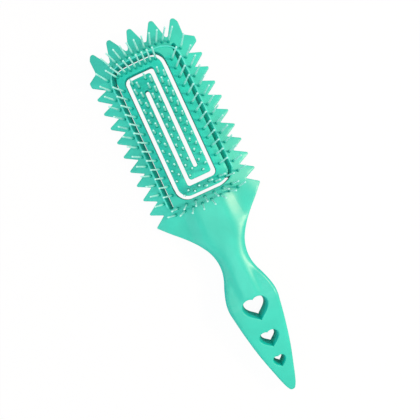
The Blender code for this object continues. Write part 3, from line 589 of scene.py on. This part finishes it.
def distance_to(points, loops, skipped=None):
    """Distance of each flat point from the nearest outline edge that is rounded."""
    starts, runs = [], []
    for loop in loops:
        for here, following in zip(loop, loop[1:] + loop[:1]):
            if skipped is None or not skipped(here, following):
                starts.append(here)
                runs.append((following[0] - here[0], following[1] - here[1]))
    starts, runs = np.array(starts), np.array(runs)
    lengths = np.maximum((runs ** 2).sum(axis=1), NO_LENGTH)
    found = []
    for first in range(0, len(points), POINTS_AT_ONCE):
        arms = points[first:first + POINTS_AT_ONCE, None, :] - starts
        shares = np.clip((arms * runs).sum(axis=2) / lengths, 0.0, 1.0)
        found.append(np.linalg.norm(arms - shares[..., None] * runs, axis=2).min(axis=1))
    return np.concatenate(found)


def edge_drop(away, radius):
    """How far a rounded edge lies under the flat surface, by the distance from its outline."""
    inside = min(away / radius, 1.0)
    return radius * (1.0 - math.sqrt(max(1.0 - (1.0 - inside) ** 2, 0.0)))


def flat_points(thing):
    """The places of a piece's points, before they are moved."""
    places = np.zeros(len(thing.data.vertices) * 3)
    thing.data.vertices.foreach_get("co", places)
    return places.reshape(-1, 3)


def move_points(thing, places):
    """Moves every point of a piece, turns its faces outwards and smooths its gentle edges."""
    thing.data.vertices.foreach_set("co", np.array(places, dtype=np.float32).ravel())
    thing.data.update()
    only(thing)
    bpy.ops.object.mode_set(mode="EDIT")
    bpy.ops.mesh.select_all(action="SELECT")
    bpy.ops.mesh.normals_make_consistent(inside=False)
    bpy.ops.object.mode_set(mode="OBJECT")
    bpy.ops.object.shade_smooth_by_angle(angle=SMOOTH_UP_TO)


def on_rounding(edge, inwards):
    """Cut places over the rounded strip beside a straight edge."""
    return [edge + inwards * share * EDGE_RADIUS for share in ROUNDING_PLACES]


# Body of the brush

def neck_fold(x, y):
    """How far the neck's top lies under the head's surface: it steepens, then flattens outwards."""
    share = smooth_step((NECK_FOLD_BEGINS - y) / (NECK_FOLD_BEGINS - NECK_FOLD_WHOLE))
    share *= 1 + NECK_FOLD_GROWS * smooth_step((NECK_FOLD_WHOLE - y) / NECK_FOLD_RUN)
    steep = smooth_step((abs(x) - NECK_FOLD_FROM) / (NECK_FOLD_TO - NECK_FOLD_FROM))
    flat = smooth_step((abs(x) - NECK_SIDE_FROM) / (NECK_SIDE_TO - NECK_SIDE_FROM))
    return share * (NECK_FOLD_DROP * steep - NECK_SIDE_RISE * flat)


def handle_section(x, y, half):
    """Height of the handle's top: round at the waist, a slab at the hearts, a ridge between them."""
    share = min(abs(x) / half, 1.0)
    slab = smooth_step((SLAB_BEGINS - y) / (SLAB_BEGINS - SLAB_WHOLE))
    swell = ((1 - slab) * math.sqrt(max(1.0 - share ** 2, 0.0))
             + slab * math.sqrt(max(1.0 - share ** SLAB_SQUARENESS, 0.0)))
    ridge = RIDGE_HEIGHT * smooth_step((RIDGE_BEGINS - y) / (RIDGE_BEGINS - RIDGE_WHOLE))
    ridge *= 1.0 - smooth_step((RIDGE_FADES - y) / (RIDGE_FADES - RIDGE_ENDS))
    crest = smooth_through(HANDLE_TOPS, y)
    edge = EDGE_HEIGHT + EDGE_BAND
    side = smooth_step((abs(x) - RIDGE_FROM) / (RIDGE_TO - RIDGE_FROM))
    return edge + (crest - edge) * swell - ridge * side * swell


def heights(x, y, handle, half):
    """Top and underside of the body at a place; y from the head's centre."""
    head_top = PAD_TOP - side_drop(x) - crown_drop(y) - neck_fold(x, y)
    side = (abs(x) - RING_HALF) / (FLANGE_HALF - RING_HALF)
    crown = (y - CROWN_BEND - FLANGE_DEPTH) / (2 * (FLANGE_HALF - RING_HALF))
    depth = RING_DEPTH + (FLANGE_DEPTH - RING_DEPTH) * smooth_step(max(side, crown))
    head_low = head_top - depth * math.hypot(1.0, side_slope(x))
    if handle <= 0.0:
        return head_top, head_low, depth
    share = min(abs(x) / half, 1.0)
    swell = math.sqrt(max(1.0 - share * share, 0.0))
    base = smooth_through(HANDLE_BASES, y)
    edge_low = EDGE_HEIGHT - EDGE_BAND
    handle_top = handle_section(x, y, half)
    handle_low = max(edge_low - (edge_low - base) * swell ** BASE_SWELL_POWER, 0.0)
    top = (1 - handle) * head_top + handle * handle_top
    low = (1 - handle) * head_low + handle * handle_low
    return top, low, depth


def shape_body(thing, loops, hearts, opening, skipped, is_back):
    """Gives the flat body its crowned head, its handle, its rounded edges and its leaning walls."""
    points = flat_points(thing)
    away = distance_to(points[:, :2], loops, skipped)
    heart_away = distance_to(points[:, :2], hearts)
    opening_away = distance_to(points[:, :2], [opening])
    places = []
    for (u, y, z), near, near_heart, near_opening in zip(points, away, heart_away, opening_away):
        handle = smooth_step((HEAD_ENDS - y) / (HEAD_ENDS - HANDLE_BEGINS))
        half = smooth_through(HANDLE_WIDTHS, y)
        x = u
        if handle > 0.0:
            share = min(max(u / half, -1.0), 1.0)
            x = half * ((1 - handle) * share + handle * math.sin(math.pi / 2 * share))
        top, low, depth = heights(x, y, handle, half)
        seam = GAP / 2 * smooth_step(near_heart / SEAM_REACH)
        if z > -SHEET_DRAWN / 2:
            z = PARTING_HEIGHT - seam if is_back else top - edge_drop(near, EDGE_RADIUS)
        elif not is_back and y < BACK_BEGINS - BACK_STEP_SLACK:
            z = PARTING_HEIGHT + seam
        else:
            by_wall = smooth_step(1.0 - near_opening / WALL_LEAN_REACH)
            draft = BAR_LEAN_KEPT
            if u > OUTER_BAR_TO:
                draft = RIGHT_WALL_DRAFT
            elif u < -OUTER_BAR_TO:
                draft = LEFT_WALL_DRAFT
            x -= draft * depth * math.sin(by_wall * math.atan(side_slope(x)))
            if y > CHANNEL_START - abs(PAD_Y - HEAD_Y) and abs(u) < CHANNEL_TO:
                y -= TOP_WALL_DRAFT * by_wall
            low = heights(x, y, handle, half)[1]
            radius = LOW_EDGE_RADIUS + (PARTING_EDGE - LOW_EDGE_RADIUS) * handle
            z = max(low, 0.0) + edge_drop(near, radius)
        x, y = by_heart(x, y, top - z, near_heart)
        places.append((x, y + HEAD_Y, z))
    move_points(thing, places)


def by_heart(x, y, depth, near_heart):
    """A heart opening narrows a little with depth, towards its lower tip."""
    place, width, length, draft = min(HEARTS, key=lambda heart: abs(heart[0] - y))
    tip = place - (1 - HEART_RISE / 2) * length / 2
    kept = 1 - draft * depth * smooth_step(1 - near_heart / WALL_LEAN_REACH) * 2 / width
    return x * kept, tip + (y - tip) * kept


def body_cuts():
    """Places across the body where it is cut: close over the crest, and at the roots of the arms."""
    flanks = [FLANK_CUTS_FROM + FLANK_CUT_STEP * number for number in range(FLANK_CUT_COUNT)]
    roots = []
    for side in (-1, 1):
        roots += on_rounding(abs(pad_place(side * OUTER_BAR_FROM)), 1)
        roots += on_rounding(abs(pad_place(side * OUTER_BAR_TO)), -1)
    cuts = [*CREST_CUTS, *flanks, *roots]
    return sorted({side * place for place in cuts for side in (-1, 1)})


def steps_between(low, high, step):
    """Evenly spaced places between two ends, about a step apart, without the ends."""
    count = round((high - low) / step)
    return [low + (high - low) * number / count for number in range(1, count)]


def on_joining_edge(here, following, level):
    """True on an edge across the pad at this distance from its middle, where two strips join."""
    return (abs(abs(here[1]) - level) < CLOSE and abs(here[1] - following[1]) < CLOSE
            and here[0] * here[1] > 0)


def on_arm_root(here, following):
    """True on the straight edge where an arm of the pad grows out of the frame."""
    return on_joining_edge(here, following, ARM_ROOT)


def on_island_end(here, following):
    """True on the straight edge where the island's end meets an arm."""
    return (on_joining_edge(here, following, ISLAND_END) and following[0] * here[1] > 0
            and min(abs(here[0]), abs(following[0])) > INNER_BAR_FROM - CLOSE
            and max(abs(here[0]), abs(following[0])) < INNER_BAR_TO + CLOSE)


def on_root_of_frame(here, following):
    """True on the frame's side of an arm's root, in the body's own outline."""
    shift = PAD_Y - HEAD_Y
    return on_arm_root((here[0], here[1] - shift), (following[0], following[1] - shift))


def make_front():
    """The front of the handle, the neck and the toothed frame, in one piece."""
    opening = [(pad_place(x), y + PAD_Y - HEAD_Y) for x, y in pad_opening()]
    hearts = [heart_outline(*heart[:3]) for heart in HEARTS]
    loops = [body_outline(), opening] + hearts
    front = draw_sheet("frame_and_handle", loops)
    along = steps_between(TAIL_Y - HEAD_Y, CROWN_TIPS[0][1], ALONG_STEP)
    along += [BACK_BEGINS, BACK_BEGINS - BACK_STEP_RUN]
    thicken_sheet(front, EDGE_RADIUS, body_cuts(), sorted(along))
    shape_body(front, loops, hearts, opening, on_root_of_frame, False)
    return front


def make_back():
    """The back half of the handle."""
    hearts = [heart_outline(*heart[:3]) for heart in HEARTS]
    loops = [back_outline()] + hearts
    back = draw_sheet("handle_back", loops)
    cuts = [place for place in body_cuts() if abs(place) < LEAF_HALF]
    along = steps_between(TAIL_Y - HEAD_Y, BACK_BEGINS, ALONG_STEP)
    thicken_sheet(back, EDGE_RADIUS, cuts, along)

    def at_start(here, following):
        return min(here[1], following[1]) > BACK_BEGINS - GAP - CLOSE
    shape_body(back, loops, hearts, loops[0], at_start, True)
    return back


# Pad

def pad_cuts():
    """Places across the pad where its bars are cut, over their roundings and between them."""
    places = []
    for side in (-1, 1):
        for edge, inwards in ((INNER_BAR_FROM, 1), (INNER_BAR_TO, -1),
                              (OUTER_BAR_FROM, 1), (OUTER_BAR_TO, -1)):
            places += on_rounding(side * edge, side * inwards)
        places += [side * place for place in PAD_CUTS]
    return sorted(places)


def make_plate(name, loop, low, high, radius, across, skipped=None):
    """A strip laid on the head's crowned surface, between two heights over it."""
    plate = draw_sheet(name, [loop])
    thicken_sheet(plate, radius, across, steps_between(PLATE_LOW, PLATE_HIGH, ALONG_STEP))
    points = flat_points(plate)
    away = distance_to(points[:, :2], [loop], skipped)
    places = []
    for (x, y, z), near in zip(points, away):
        if z > -SHEET_DRAWN / 2:
            height = high - edge_drop(near, radius)
        else:
            height = low + edge_drop(near, LOW_EDGE_RADIUS)
        point = on_head(pad_place(x), y + PAD_Y - HEAD_Y, height)
        point.x -= (1 - BAR_LEAN_KEPT) * height * math.sin(math.atan(side_slope(pad_place(x))))
        places.append(point)
    move_points(plate, places)
    return plate


def make_pad():
    """The island, the left arm, the right arm and the lip round the opening."""
    def skipped(here, following):
        return on_arm_root(here, following) or on_island_end(here, following)
    bars = [make_plate(name, outline, -BAR_DEPTH, 0.0, EDGE_RADIUS, pad_cuts(), skipped)
            for name, outline in (("pad_middle_bars", island_outline()),
                                  ("pad_left_arm", arm_outline()),
                                  ("pad_right_arm", half_turn(arm_outline())))]
    lip_cuts = [side * place for side in (-1, 1) for place in LIP_CUTS]
    return *bars, make_plate("opening_lip", lip_outline(), -LIP_SINK, RIM_RISE, LIP_RADIUS, lip_cuts)


# Pins

def model_pin(height):
    """One moulded pin with a flared foot and a ball tip, standing on the origin."""
    bpy.ops.object.select_all(action="DESELECT")
    bpy.ops.mesh.primitive_cylinder_add(
        vertices=PIN_SIDES, radius=PIN_ROOT_RADIUS, depth=PIN_ROOT_DEPTH,
        location=(0, 0, -PIN_ROOT_DEPTH / 2), end_fill_type="NGON")
    pin = bpy.context.object
    bpy.ops.object.transform_apply(location=True)
    bpy.ops.object.mode_set(mode="EDIT")
    bpy.ops.mesh.select_mode(type="FACE")
    bpy.ops.mesh.select_all(action="DESELECT")
    bpy.ops.object.mode_set(mode="OBJECT")
    for face in pin.data.polygons:
        face.select = face.normal.z > 0.9
    bpy.ops.object.mode_set(mode="EDIT")
    rings = [*PIN_FOOT_RINGS, (height * PIN_MIDDLE, PIN_MIDDLE_RADIUS)]
    rings += [(height - depth, radius) for depth, radius in PIN_TIP_RINGS]
    width, level = PIN_ROOT_RADIUS, 0.0
    for place, radius in rings:
        bpy.ops.mesh.extrude_region_move(TRANSFORM_OT_translate={"value": (0, 0, place - level)})
        bpy.ops.transform.resize(value=(radius / width, radius / width, 1.0))
        width, level = radius, place
    bpy.ops.mesh.select_mode(type="VERT")
    bpy.ops.object.mode_set(mode="OBJECT")
    bpy.ops.object.shade_smooth_by_angle(angle=PIN_SMOOTH_UP_TO)
    rise = pin.data.attributes.new("rise", "FLOAT", "POINT")
    for point, kept in zip(pin.data.vertices, rise.data):
        kept.value = max(point.co.z, 0.0) / height
    return pin


def plant_pins(name, models, places):
    """Copies of the pin, one at each place, joined into one piece."""
    planted = []
    for x, y, lean_x, lean_y, height in places:
        pin = models[height].copy()
        pin.data = models[height].data.copy()
        bpy.context.collection.objects.link(pin)
        direction = Vector((math.tan(lean_x), math.tan(lean_y), 1.0)).normalized()
        turn = Vector((0, 0, 1)).rotation_difference(direction).to_matrix().to_4x4()
        pin.matrix_world = Matrix.Translation(on_head(x, y, 0.0)) @ turn
        planted.append(pin)
    bpy.ops.object.select_all(action="DESELECT")
    for pin in planted:
        pin.select_set(True)
    bpy.context.view_layer.objects.active = planted[0]
    bpy.ops.object.join()
    bpy.ops.object.transform_apply(location=True, rotation=True, scale=True)
    planted[0].name = name
    return planted[0]


def row(low, high, pitch):
    """Places a pitch apart, as many as fit, in the middle between two ends."""
    count = int((high - low) / pitch + CLOSE) + 1
    start = (low + high - (count - 1) * pitch) / 2
    return [start + number * pitch for number in range(count)]


def staggered(bar_x, low, high):
    """Two rows of upright pins along a middle bar, set in turn to its left and right."""
    places = []
    for number, y in enumerate(row(low, high, BAR_PIN_PITCH / 2)):
        side = BAR_PIN_SPREAD / 2 * (1 if number % 2 else -1)
        places.append((bar_x + side + PAD_SHIFT, y + PAD_Y - HEAD_Y, 0.0, 0.0, ISLAND_PIN_HEIGHT))
    return places


def island_pin_places():
    bar_x = (INNER_BAR_FROM + INNER_BAR_TO) / 2
    low, high = -ISLAND_END + INNER_CORNER, ISLAND_END - INNER_CORNER
    return staggered(-bar_x, low, high) + staggered(0.0, low, high) + staggered(bar_x, low, high)


def outer_pin_places(side):
    """One row of pins along the left or right bar, leaning outwards."""
    bar_x = side * (OUTER_BAR_FROM + OUTER_BAR_TO) / 2 + PAD_SHIFT / 2
    low = -ARM_ROOT + INNER_CORNER
    high = END_BAR_FROM - INNER_CORNER * 2 - PIN_FOOT_RADIUS * 3
    if side > 0:
        low, high = -high, -low
    lean = side * OUTER_PIN_LEAN
    return [(bar_x, y + PAD_Y - HEAD_Y + OUTER_PIN_SHIFT, lean, SIDE_PIN_LEAN_UP, PIN_HEIGHT)
            for y in row(low, high, OUTER_PIN_PITCH)]


def end_pin_places(side):
    """Pins across the top bar, in one row, or across the bottom bar, in two."""
    middle = (END_BAR_FROM + END_BAR_TO) / 2
    places = []
    for number, x in enumerate(row(-OUTER_BAR_TO + INNER_CORNER, INNER_BAR_TO - INNER_CORNER,
                                   END_PIN_PITCH)):
        lean = OUTER_PIN_LEAN * min(x / OUTER_BAR_TO, 0.0)
        shift = 0.0 if side > 0 else BAR_PIN_SPREAD / 3 * (1 if number % 2 else -1)
        lean_y = CROWN_PIN_LEAN if side > 0 else 0.0
        y = side * middle + shift + PAD_Y - HEAD_Y
        places.append((pad_place(side * x), y, side * lean, lean_y, PIN_HEIGHT))
    return places


def corner_arc(start, stop):
    """Points round the corner of the frame's strip, from one angle to another in degrees."""
    side, top = CHANNEL_TO + STRIP_AWAY, CHANNEL_END + STRIP_AWAY
    centre = Vector((side - STRIP_CORNER, top - STRIP_CORNER))
    points = []
    for step in range(CORNER_PARTS + 1):
        angle = math.radians(start + (stop - start) * step / CORNER_PARTS)
        points.append(centre + STRIP_CORNER * Vector((math.cos(angle), math.sin(angle))))
    return points


def along_path(path, distance):
    """The point at a distance along a line of points, and the line's direction there."""
    for here, following in zip(path, path[1:]):
        length = (following - here).length
        if distance <= length + VERY_CLOSE:
            direction = (following - here).normalized()
            return here + direction * distance, direction
        distance -= length
    return path[-1], (path[-1] - path[-2]).normalized()


def path_pin_places(path, pitch, side, lean_out, fans=(0.0, 0.0)):
    """Pins along a line on the frame, leaning outwards, and fanned to the left and right."""
    margin = PIN_FOOT_RADIUS * 2
    length = sum((following - here).length for here, following in zip(path, path[1:]))
    places = []
    for distance in row(margin, length - margin, pitch):
        point, direction = along_path(path, distance)
        outwards = Vector((direction.y, -direction.x))
        fan = fans[0] if point.x < 0.0 else fans[1]
        lean_x = side * lean_out * outwards.x + fan * min(max(point.x / FAN_REACH, -1.0), 1.0)
        lean_y = lean_out * outwards.y + SIDE_PIN_LEAN_UP * abs(outwards.x)
        places.append((side * point.x, point.y + PAD_Y - HEAD_Y, lean_x, lean_y, PIN_HEIGHT))
    return places


def edge_pin_places(side):
    """The row beside the teeth of one side."""
    path = [Vector((CHANNEL_TO + STRIP_AWAY, SIDE_STRIP_LOW))] + corner_arc(*EDGE_PINS_TURN)
    return path_pin_places(path, EDGE_PIN_PITCH, side, EDGE_PIN_LEAN)


def crown_pin_places():
    """The row beside the crown's teeth, fanned to both sides."""
    right = corner_arc(*CROWN_PINS_TURN)
    path = right + [Vector((-point.x, point.y)) for point in reversed(right)]
    return path_pin_places(path, CROWN_PIN_PITCH, 1, CROWN_PIN_LEAN, CROWN_FANS)


def neck_pin_places():
    """Two staggered rows under the pad. They lean to the tail in the middle, outwards at the ends."""
    places = []
    middle = PAD_Y - HEAD_Y - CHANNEL_END - NECK_STRIP_AWAY + NECK_PIN_SHIFT
    for number, x in enumerate(row(-NECK_STRIP_HALF + PIN_FOOT_RADIUS * 2,
                                   NECK_STRIP_HALF - PIN_FOOT_RADIUS * 2, NECK_PIN_PITCH / 2)):
        y = middle + NECK_PIN_SPREAD / 2 * (1 if number % 2 else -1)
        out = x / NECK_STRIP_HALF
        lean_y = (NECK_PIN_LEAN + NECK_END_PIN_LEAN) * out * out - NECK_PIN_LEAN
        places.append((x, y, EDGE_PIN_LEAN * out, lean_y, PIN_HEIGHT))
    return places


# Finishes

def add_node(nodes, kind, values, operation=None):
    """A new shader node with the values of its sockets, by name or number."""
    node = nodes.new(kind)
    if operation:
        node.operation = operation
    for socket, value in values.items():
        node.inputs[socket].default_value = value
    return node


def paint_wall_glow(nodes, links, shader, place, tint):
    """Steep walls get a painted glow, a deeper mint standing in for light through the plastic in
    their shade, and less gloss than the level surfaces.
    """
    upright = nodes.new("ShaderNodeSeparateXYZ")
    faced = add_node(nodes, "ShaderNodeMath", {}, "ABSOLUTE")
    wall = add_node(nodes, "ShaderNodeMapRange", {"From Min": WALL_TO, "From Max": WALL_FROM})
    painted_glow_mix = add_node(nodes, "ShaderNodeMixRGB", {"Color2": (*PAINTED_WALL_GLOW, 1.0)})
    sheen = add_node(nodes, "ShaderNodeMapRange", {"To Min": PLAIN_GLOSS, "To Max": WALL_GLOSS})
    links.new(place.outputs["Normal"], upright.inputs["Vector"])
    links.new(upright.outputs["Z"], faced.inputs[0])
    links.new(faced.outputs["Value"], wall.inputs["Value"])
    links.new(wall.outputs["Result"], painted_glow_mix.inputs["Fac"])
    links.new(wall.outputs["Result"], sheen.inputs["Value"])
    links.new(tint.outputs["Color"], painted_glow_mix.inputs["Color1"])
    links.new(painted_glow_mix.outputs["Color"], shader.inputs["Base Color"])
    links.new(sheen.outputs["Result"], shader.inputs["Specular IOR Level"])


def paint_pin_shade_and_highlight(nodes, links, shader, tint, tip):
    """Pins get painted shade at the foot, a contact shadow, and a painted highlight that turns them
    pale upwards, by the rise that the pin model carries.
    """
    rise = nodes.new("ShaderNodeAttribute")
    rise.attribute_name = "rise"
    tip_highlight_share = add_node(nodes, "ShaderNodeMapRange", {"From Min": TIP_HIGHLIGHT_FROM, "From Max": TIP_HIGHLIGHT_TO})
    tip_highlight_mix = add_node(nodes, "ShaderNodeMixRGB", {"Color2": (*tip, 1.0)})
    foot_shade_share = add_node(nodes, "ShaderNodeMapRange",
                    {"From Max": FOOT_SHADE_SHARE, "To Min": FOOT_SHADE_STRENGTH, "To Max": 0.0})
    foot_shade_mix = add_node(nodes, "ShaderNodeMixRGB", {"Color2": (*PAINTED_FOOT_SHADE, 1.0)})
    links.new(rise.outputs["Fac"], tip_highlight_share.inputs["Value"])
    links.new(rise.outputs["Fac"], foot_shade_share.inputs["Value"])
    links.new(foot_shade_share.outputs["Result"], foot_shade_mix.inputs["Fac"])
    links.new(tip_highlight_share.outputs["Result"], tip_highlight_mix.inputs["Fac"])
    links.new(tint.outputs["Color"], foot_shade_mix.inputs["Color1"])
    links.new(foot_shade_mix.outputs["Color"], tip_highlight_mix.inputs["Color1"])
    links.new(tip_highlight_mix.outputs["Color"], shader.inputs["Base Color"])


def moulded_plastic(name, colour, roughness, tip=None):
    """Mint moulding compound: faint flow marks in colour and gloss, a fine moulded grain, and painted
    light, a glow on steep walls and shade and highlights on pins.
    """
    finish = bpy.data.materials.new(name)
    finish.use_nodes = True
    nodes, links = finish.node_tree.nodes, finish.node_tree.links
    shader = nodes["Principled BSDF"]
    shader.inputs["IOR"].default_value = PLASTIC_IOR
    place = nodes.new("ShaderNodeTexCoord")
    flow = add_node(nodes, "ShaderNodeTexNoise", FLOW_MARKS)
    swirl = add_node(nodes, "ShaderNodeTexNoise", SWIRLS)
    grain = add_node(nodes, "ShaderNodeTexNoise", GRAIN)
    tint = nodes.new("ShaderNodeValToRGB")
    darker, lighter = tint.color_ramp.elements
    darker.position, lighter.position = FLOW_FROM, FLOW_TO
    darker.color = (*[FLOW_DARKEST * part for part in colour], 1.0)
    lighter.color = (*[min(FLOW_PALEST * part, 1.0) for part in colour], 1.0)
    gloss = add_node(nodes, "ShaderNodeMapRange",
                     {"To Min": roughness - SWIRL_SMOOTHER, "To Max": roughness + SWIRL_ROUGHER})
    relief = add_node(nodes, "ShaderNodeMath", {1: GRAIN_SHARE}, "MULTIPLY_ADD")
    bump = add_node(nodes, "ShaderNodeBump", GRAIN_BUMP)
    for texture in (flow, grain, swirl):
        links.new(place.outputs["Object"], texture.inputs["Vector"])
    links.new(flow.outputs["Fac"], tint.inputs["Fac"])
    if tip is None:
        paint_wall_glow(nodes, links, shader, place, tint)
    else:
        paint_pin_shade_and_highlight(nodes, links, shader, tint, tip)
    links.new(swirl.outputs["Fac"], gloss.inputs["Value"])
    links.new(gloss.outputs["Result"], shader.inputs["Roughness"])
    links.new(grain.outputs["Fac"], relief.inputs[0])
    links.new(swirl.outputs["Fac"], relief.inputs[2])
    links.new(relief.outputs["Value"], bump.inputs["Height"])
    links.new(bump.outputs["Normal"], shader.inputs["Normal"])
    return finish


def dress(piece, finish):
    """Gives a piece its finish."""
    piece.data.materials.clear()
    piece.data.materials.append(finish)


# Studio

def ray_share(nodes, links, rays, kind, share):
    """This share on rays of one kind, and nothing on others."""
    part = add_node(nodes, "ShaderNodeMath", {1: share}, "MULTIPLY")
    links.new(rays.outputs[kind], part.inputs[0])
    return part.outputs["Value"]


def larger(nodes, links, first, second):
    """The larger of two levels."""
    part = add_node(nodes, "ShaderNodeMath", {}, "MAXIMUM")
    links.new(first, part.inputs[0])
    links.new(second, part.inputs[1])
    return part.outputs["Value"]


def pale_floor():
    """A floor of white paper, seen as white and hardly mirrored in the gloss of the brush."""
    bpy.ops.object.select_all(action="DESELECT")
    bpy.ops.mesh.primitive_plane_add(size=FLOOR_SIZE, location=(0, 0, -FLOOR_DROP))
    floor = bpy.context.object
    floor.name = "studio_floor"
    bpy.ops.object.transform_apply(location=True)
    paper = bpy.data.materials.new("white_paper")
    paper.use_nodes = True
    nodes, links = paper.node_tree.nodes, paper.node_tree.links
    shader = nodes["Principled BSDF"]
    for socket, value in PAPER.items():
        shader.inputs[socket].default_value = value
    glow = nodes.new("ShaderNodeEmission")
    rays = nodes.new("ShaderNodeLightPath")
    blend = nodes.new("ShaderNodeMixShader")
    cover = larger(nodes, links, ray_share(nodes, links, rays, "Is Camera Ray", FLOOR_SEEN),
                   ray_share(nodes, links, rays, "Is Glossy Ray", FLOOR_SEEN))
    seen = larger(nodes, links, rays.outputs["Is Camera Ray"], rays.outputs["Is Transmission Ray"])
    level = larger(nodes, links, seen,
                   ray_share(nodes, links, rays, "Is Glossy Ray", FLOOR_MIRRORED))
    links.new(level, glow.inputs["Strength"])
    links.new(cover, blend.inputs["Fac"])
    links.new(shader.outputs["BSDF"], blend.inputs[1])
    links.new(glow.outputs["Emission"], blend.inputs[2])
    links.new(blend.outputs["Shader"], nodes["Material Output"].inputs["Surface"])
    floor.data.materials.append(paper)


def soft_world():
    """A white room: white to the eye, at a lower level on the object, lower still in its gloss."""
    world = bpy.data.worlds.new("studio_world")
    bpy.context.scene.world = world
    world.use_nodes = True
    nodes, links = world.node_tree.nodes, world.node_tree.links
    base = nodes["Background"]
    base.inputs["Color"].default_value = (*WHITE, 1.0)
    rays = nodes.new("ShaderNodeLightPath")
    lit = add_node(nodes, "ShaderNodeMath", {1: WORLD_MIRRORED - WORLD_LEVEL, 2: WORLD_LEVEL},
                   "MULTIPLY_ADD")
    links.new(rays.outputs["Is Glossy Ray"], lit.inputs[0])
    seen = larger(nodes, links, rays.outputs["Is Camera Ray"], rays.outputs["Is Transmission Ray"])
    links.new(larger(nodes, links, seen, lit.outputs["Value"]), base.inputs["Strength"])


def soft_lamp(name, place, size, power, colour):
    """A round soft lamp aimed at the middle of the brush."""
    bpy.ops.object.light_add(type="AREA", location=place)
    lamp = bpy.context.object
    lamp.name = name
    lamp.data.shape = "DISK"
    lamp.data.size = size
    lamp.data.energy = power
    lamp.data.color = colour
    lamp.rotation_euler = (-Vector(place)).to_track_quat("-Z", "Y").to_euler()


def photo_camera():
    """The camera straight over the brush, turned as the photo shows it."""
    turn = (0.0, 0.0, math.radians(CAMERA_TURN))
    bpy.ops.object.camera_add(location=CAMERA_PLACE, rotation=turn)
    camera = bpy.context.object
    camera.data.sensor_width = SENSOR_WIDTH
    camera.data.lens = FOCAL_PIXELS / FRAME_PIXELS * SENSOR_WIDTH
    camera.data.shift_x = -(CENTRE_PIXEL[0] - FRAME_PIXELS / 2) / FRAME_PIXELS
    camera.data.shift_y = (CENTRE_PIXEL[1] - FRAME_PIXELS / 2) / FRAME_PIXELS
    camera.data.clip_start = CLIP_START
    bpy.context.scene.camera = camera


def dress_brush():
    """Models every piece of the brush, gives it its finish, joins it to its body, and hides the CAD
    node that it replaces.
    """
    mint, pad_shaded_mint, lip_painted_highlight, pin_painted_light = [
        moulded_plastic(name, *look) for name, look in FINISHES.items()]

    front = make_front()
    back = make_back()
    island, left, right, lip = make_pad()
    # The lip gets its paler mint, a painted highlight.
    for piece, finish, slot in ((front, mint, "handle_front_shell"),
                                (back, mint, "handle_back_shell"),
                                (lip, lip_painted_highlight, "handle_front_shell")):
        dress(piece, finish)
        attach(piece, "brush_body")
    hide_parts("handle_front_shell")
    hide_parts("handle_back_shell")
    # The pad's bars get the darker mint, painted shade.
    for piece, node in ((island, "pad_island"), (left, "pad_arm_left"), (right, "pad_arm_right")):
        dress(piece, pad_shaded_mint)
        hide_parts(node)
    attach(island, "island")
    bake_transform(left)
    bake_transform(right)

    models = {height: model_pin(height) for height in (PIN_HEIGHT, ISLAND_PIN_HEIGHT)}
    rows = (("island_pins", "island", island_pin_places()),
            ("left_bar_pins", "arm_left", outer_pin_places(-1)),
            ("top_bar_pins", "arm_left", end_pin_places(1)),
            ("right_bar_pins", "arm_right", outer_pin_places(1)),
            ("bottom_bar_pins", "arm_right", end_pin_places(-1)),
            ("edge_pins_left", "brush_body", edge_pin_places(-1)),
            ("edge_pins_right", "brush_body", edge_pin_places(1)),
            ("crown_pins", "brush_body", crown_pin_places()),
            ("neck_pins", "brush_body", neck_pin_places()))
    # Pins get painted shade at their feet and a painted highlight towards their tips.
    for node, body, places in rows:
        pins = plant_pins("ball_" + node, models, places)
        dress(pins, pin_painted_light)
        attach(pins, body)
        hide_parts(node)
    for model in models.values():
        bpy.data.objects.remove(model)


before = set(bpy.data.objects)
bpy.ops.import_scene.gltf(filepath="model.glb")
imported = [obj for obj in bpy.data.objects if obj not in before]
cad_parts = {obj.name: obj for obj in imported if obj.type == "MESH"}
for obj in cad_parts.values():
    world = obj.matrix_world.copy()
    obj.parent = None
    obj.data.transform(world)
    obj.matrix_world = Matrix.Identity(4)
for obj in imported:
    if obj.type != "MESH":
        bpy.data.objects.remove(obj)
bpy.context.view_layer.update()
photo_camera()
soft_world()
pale_floor()
for lamp in LAMPS:
    soft_lamp(*lamp)
dress_brush()
bpy.context.scene.view_settings.view_transform = "Standard"
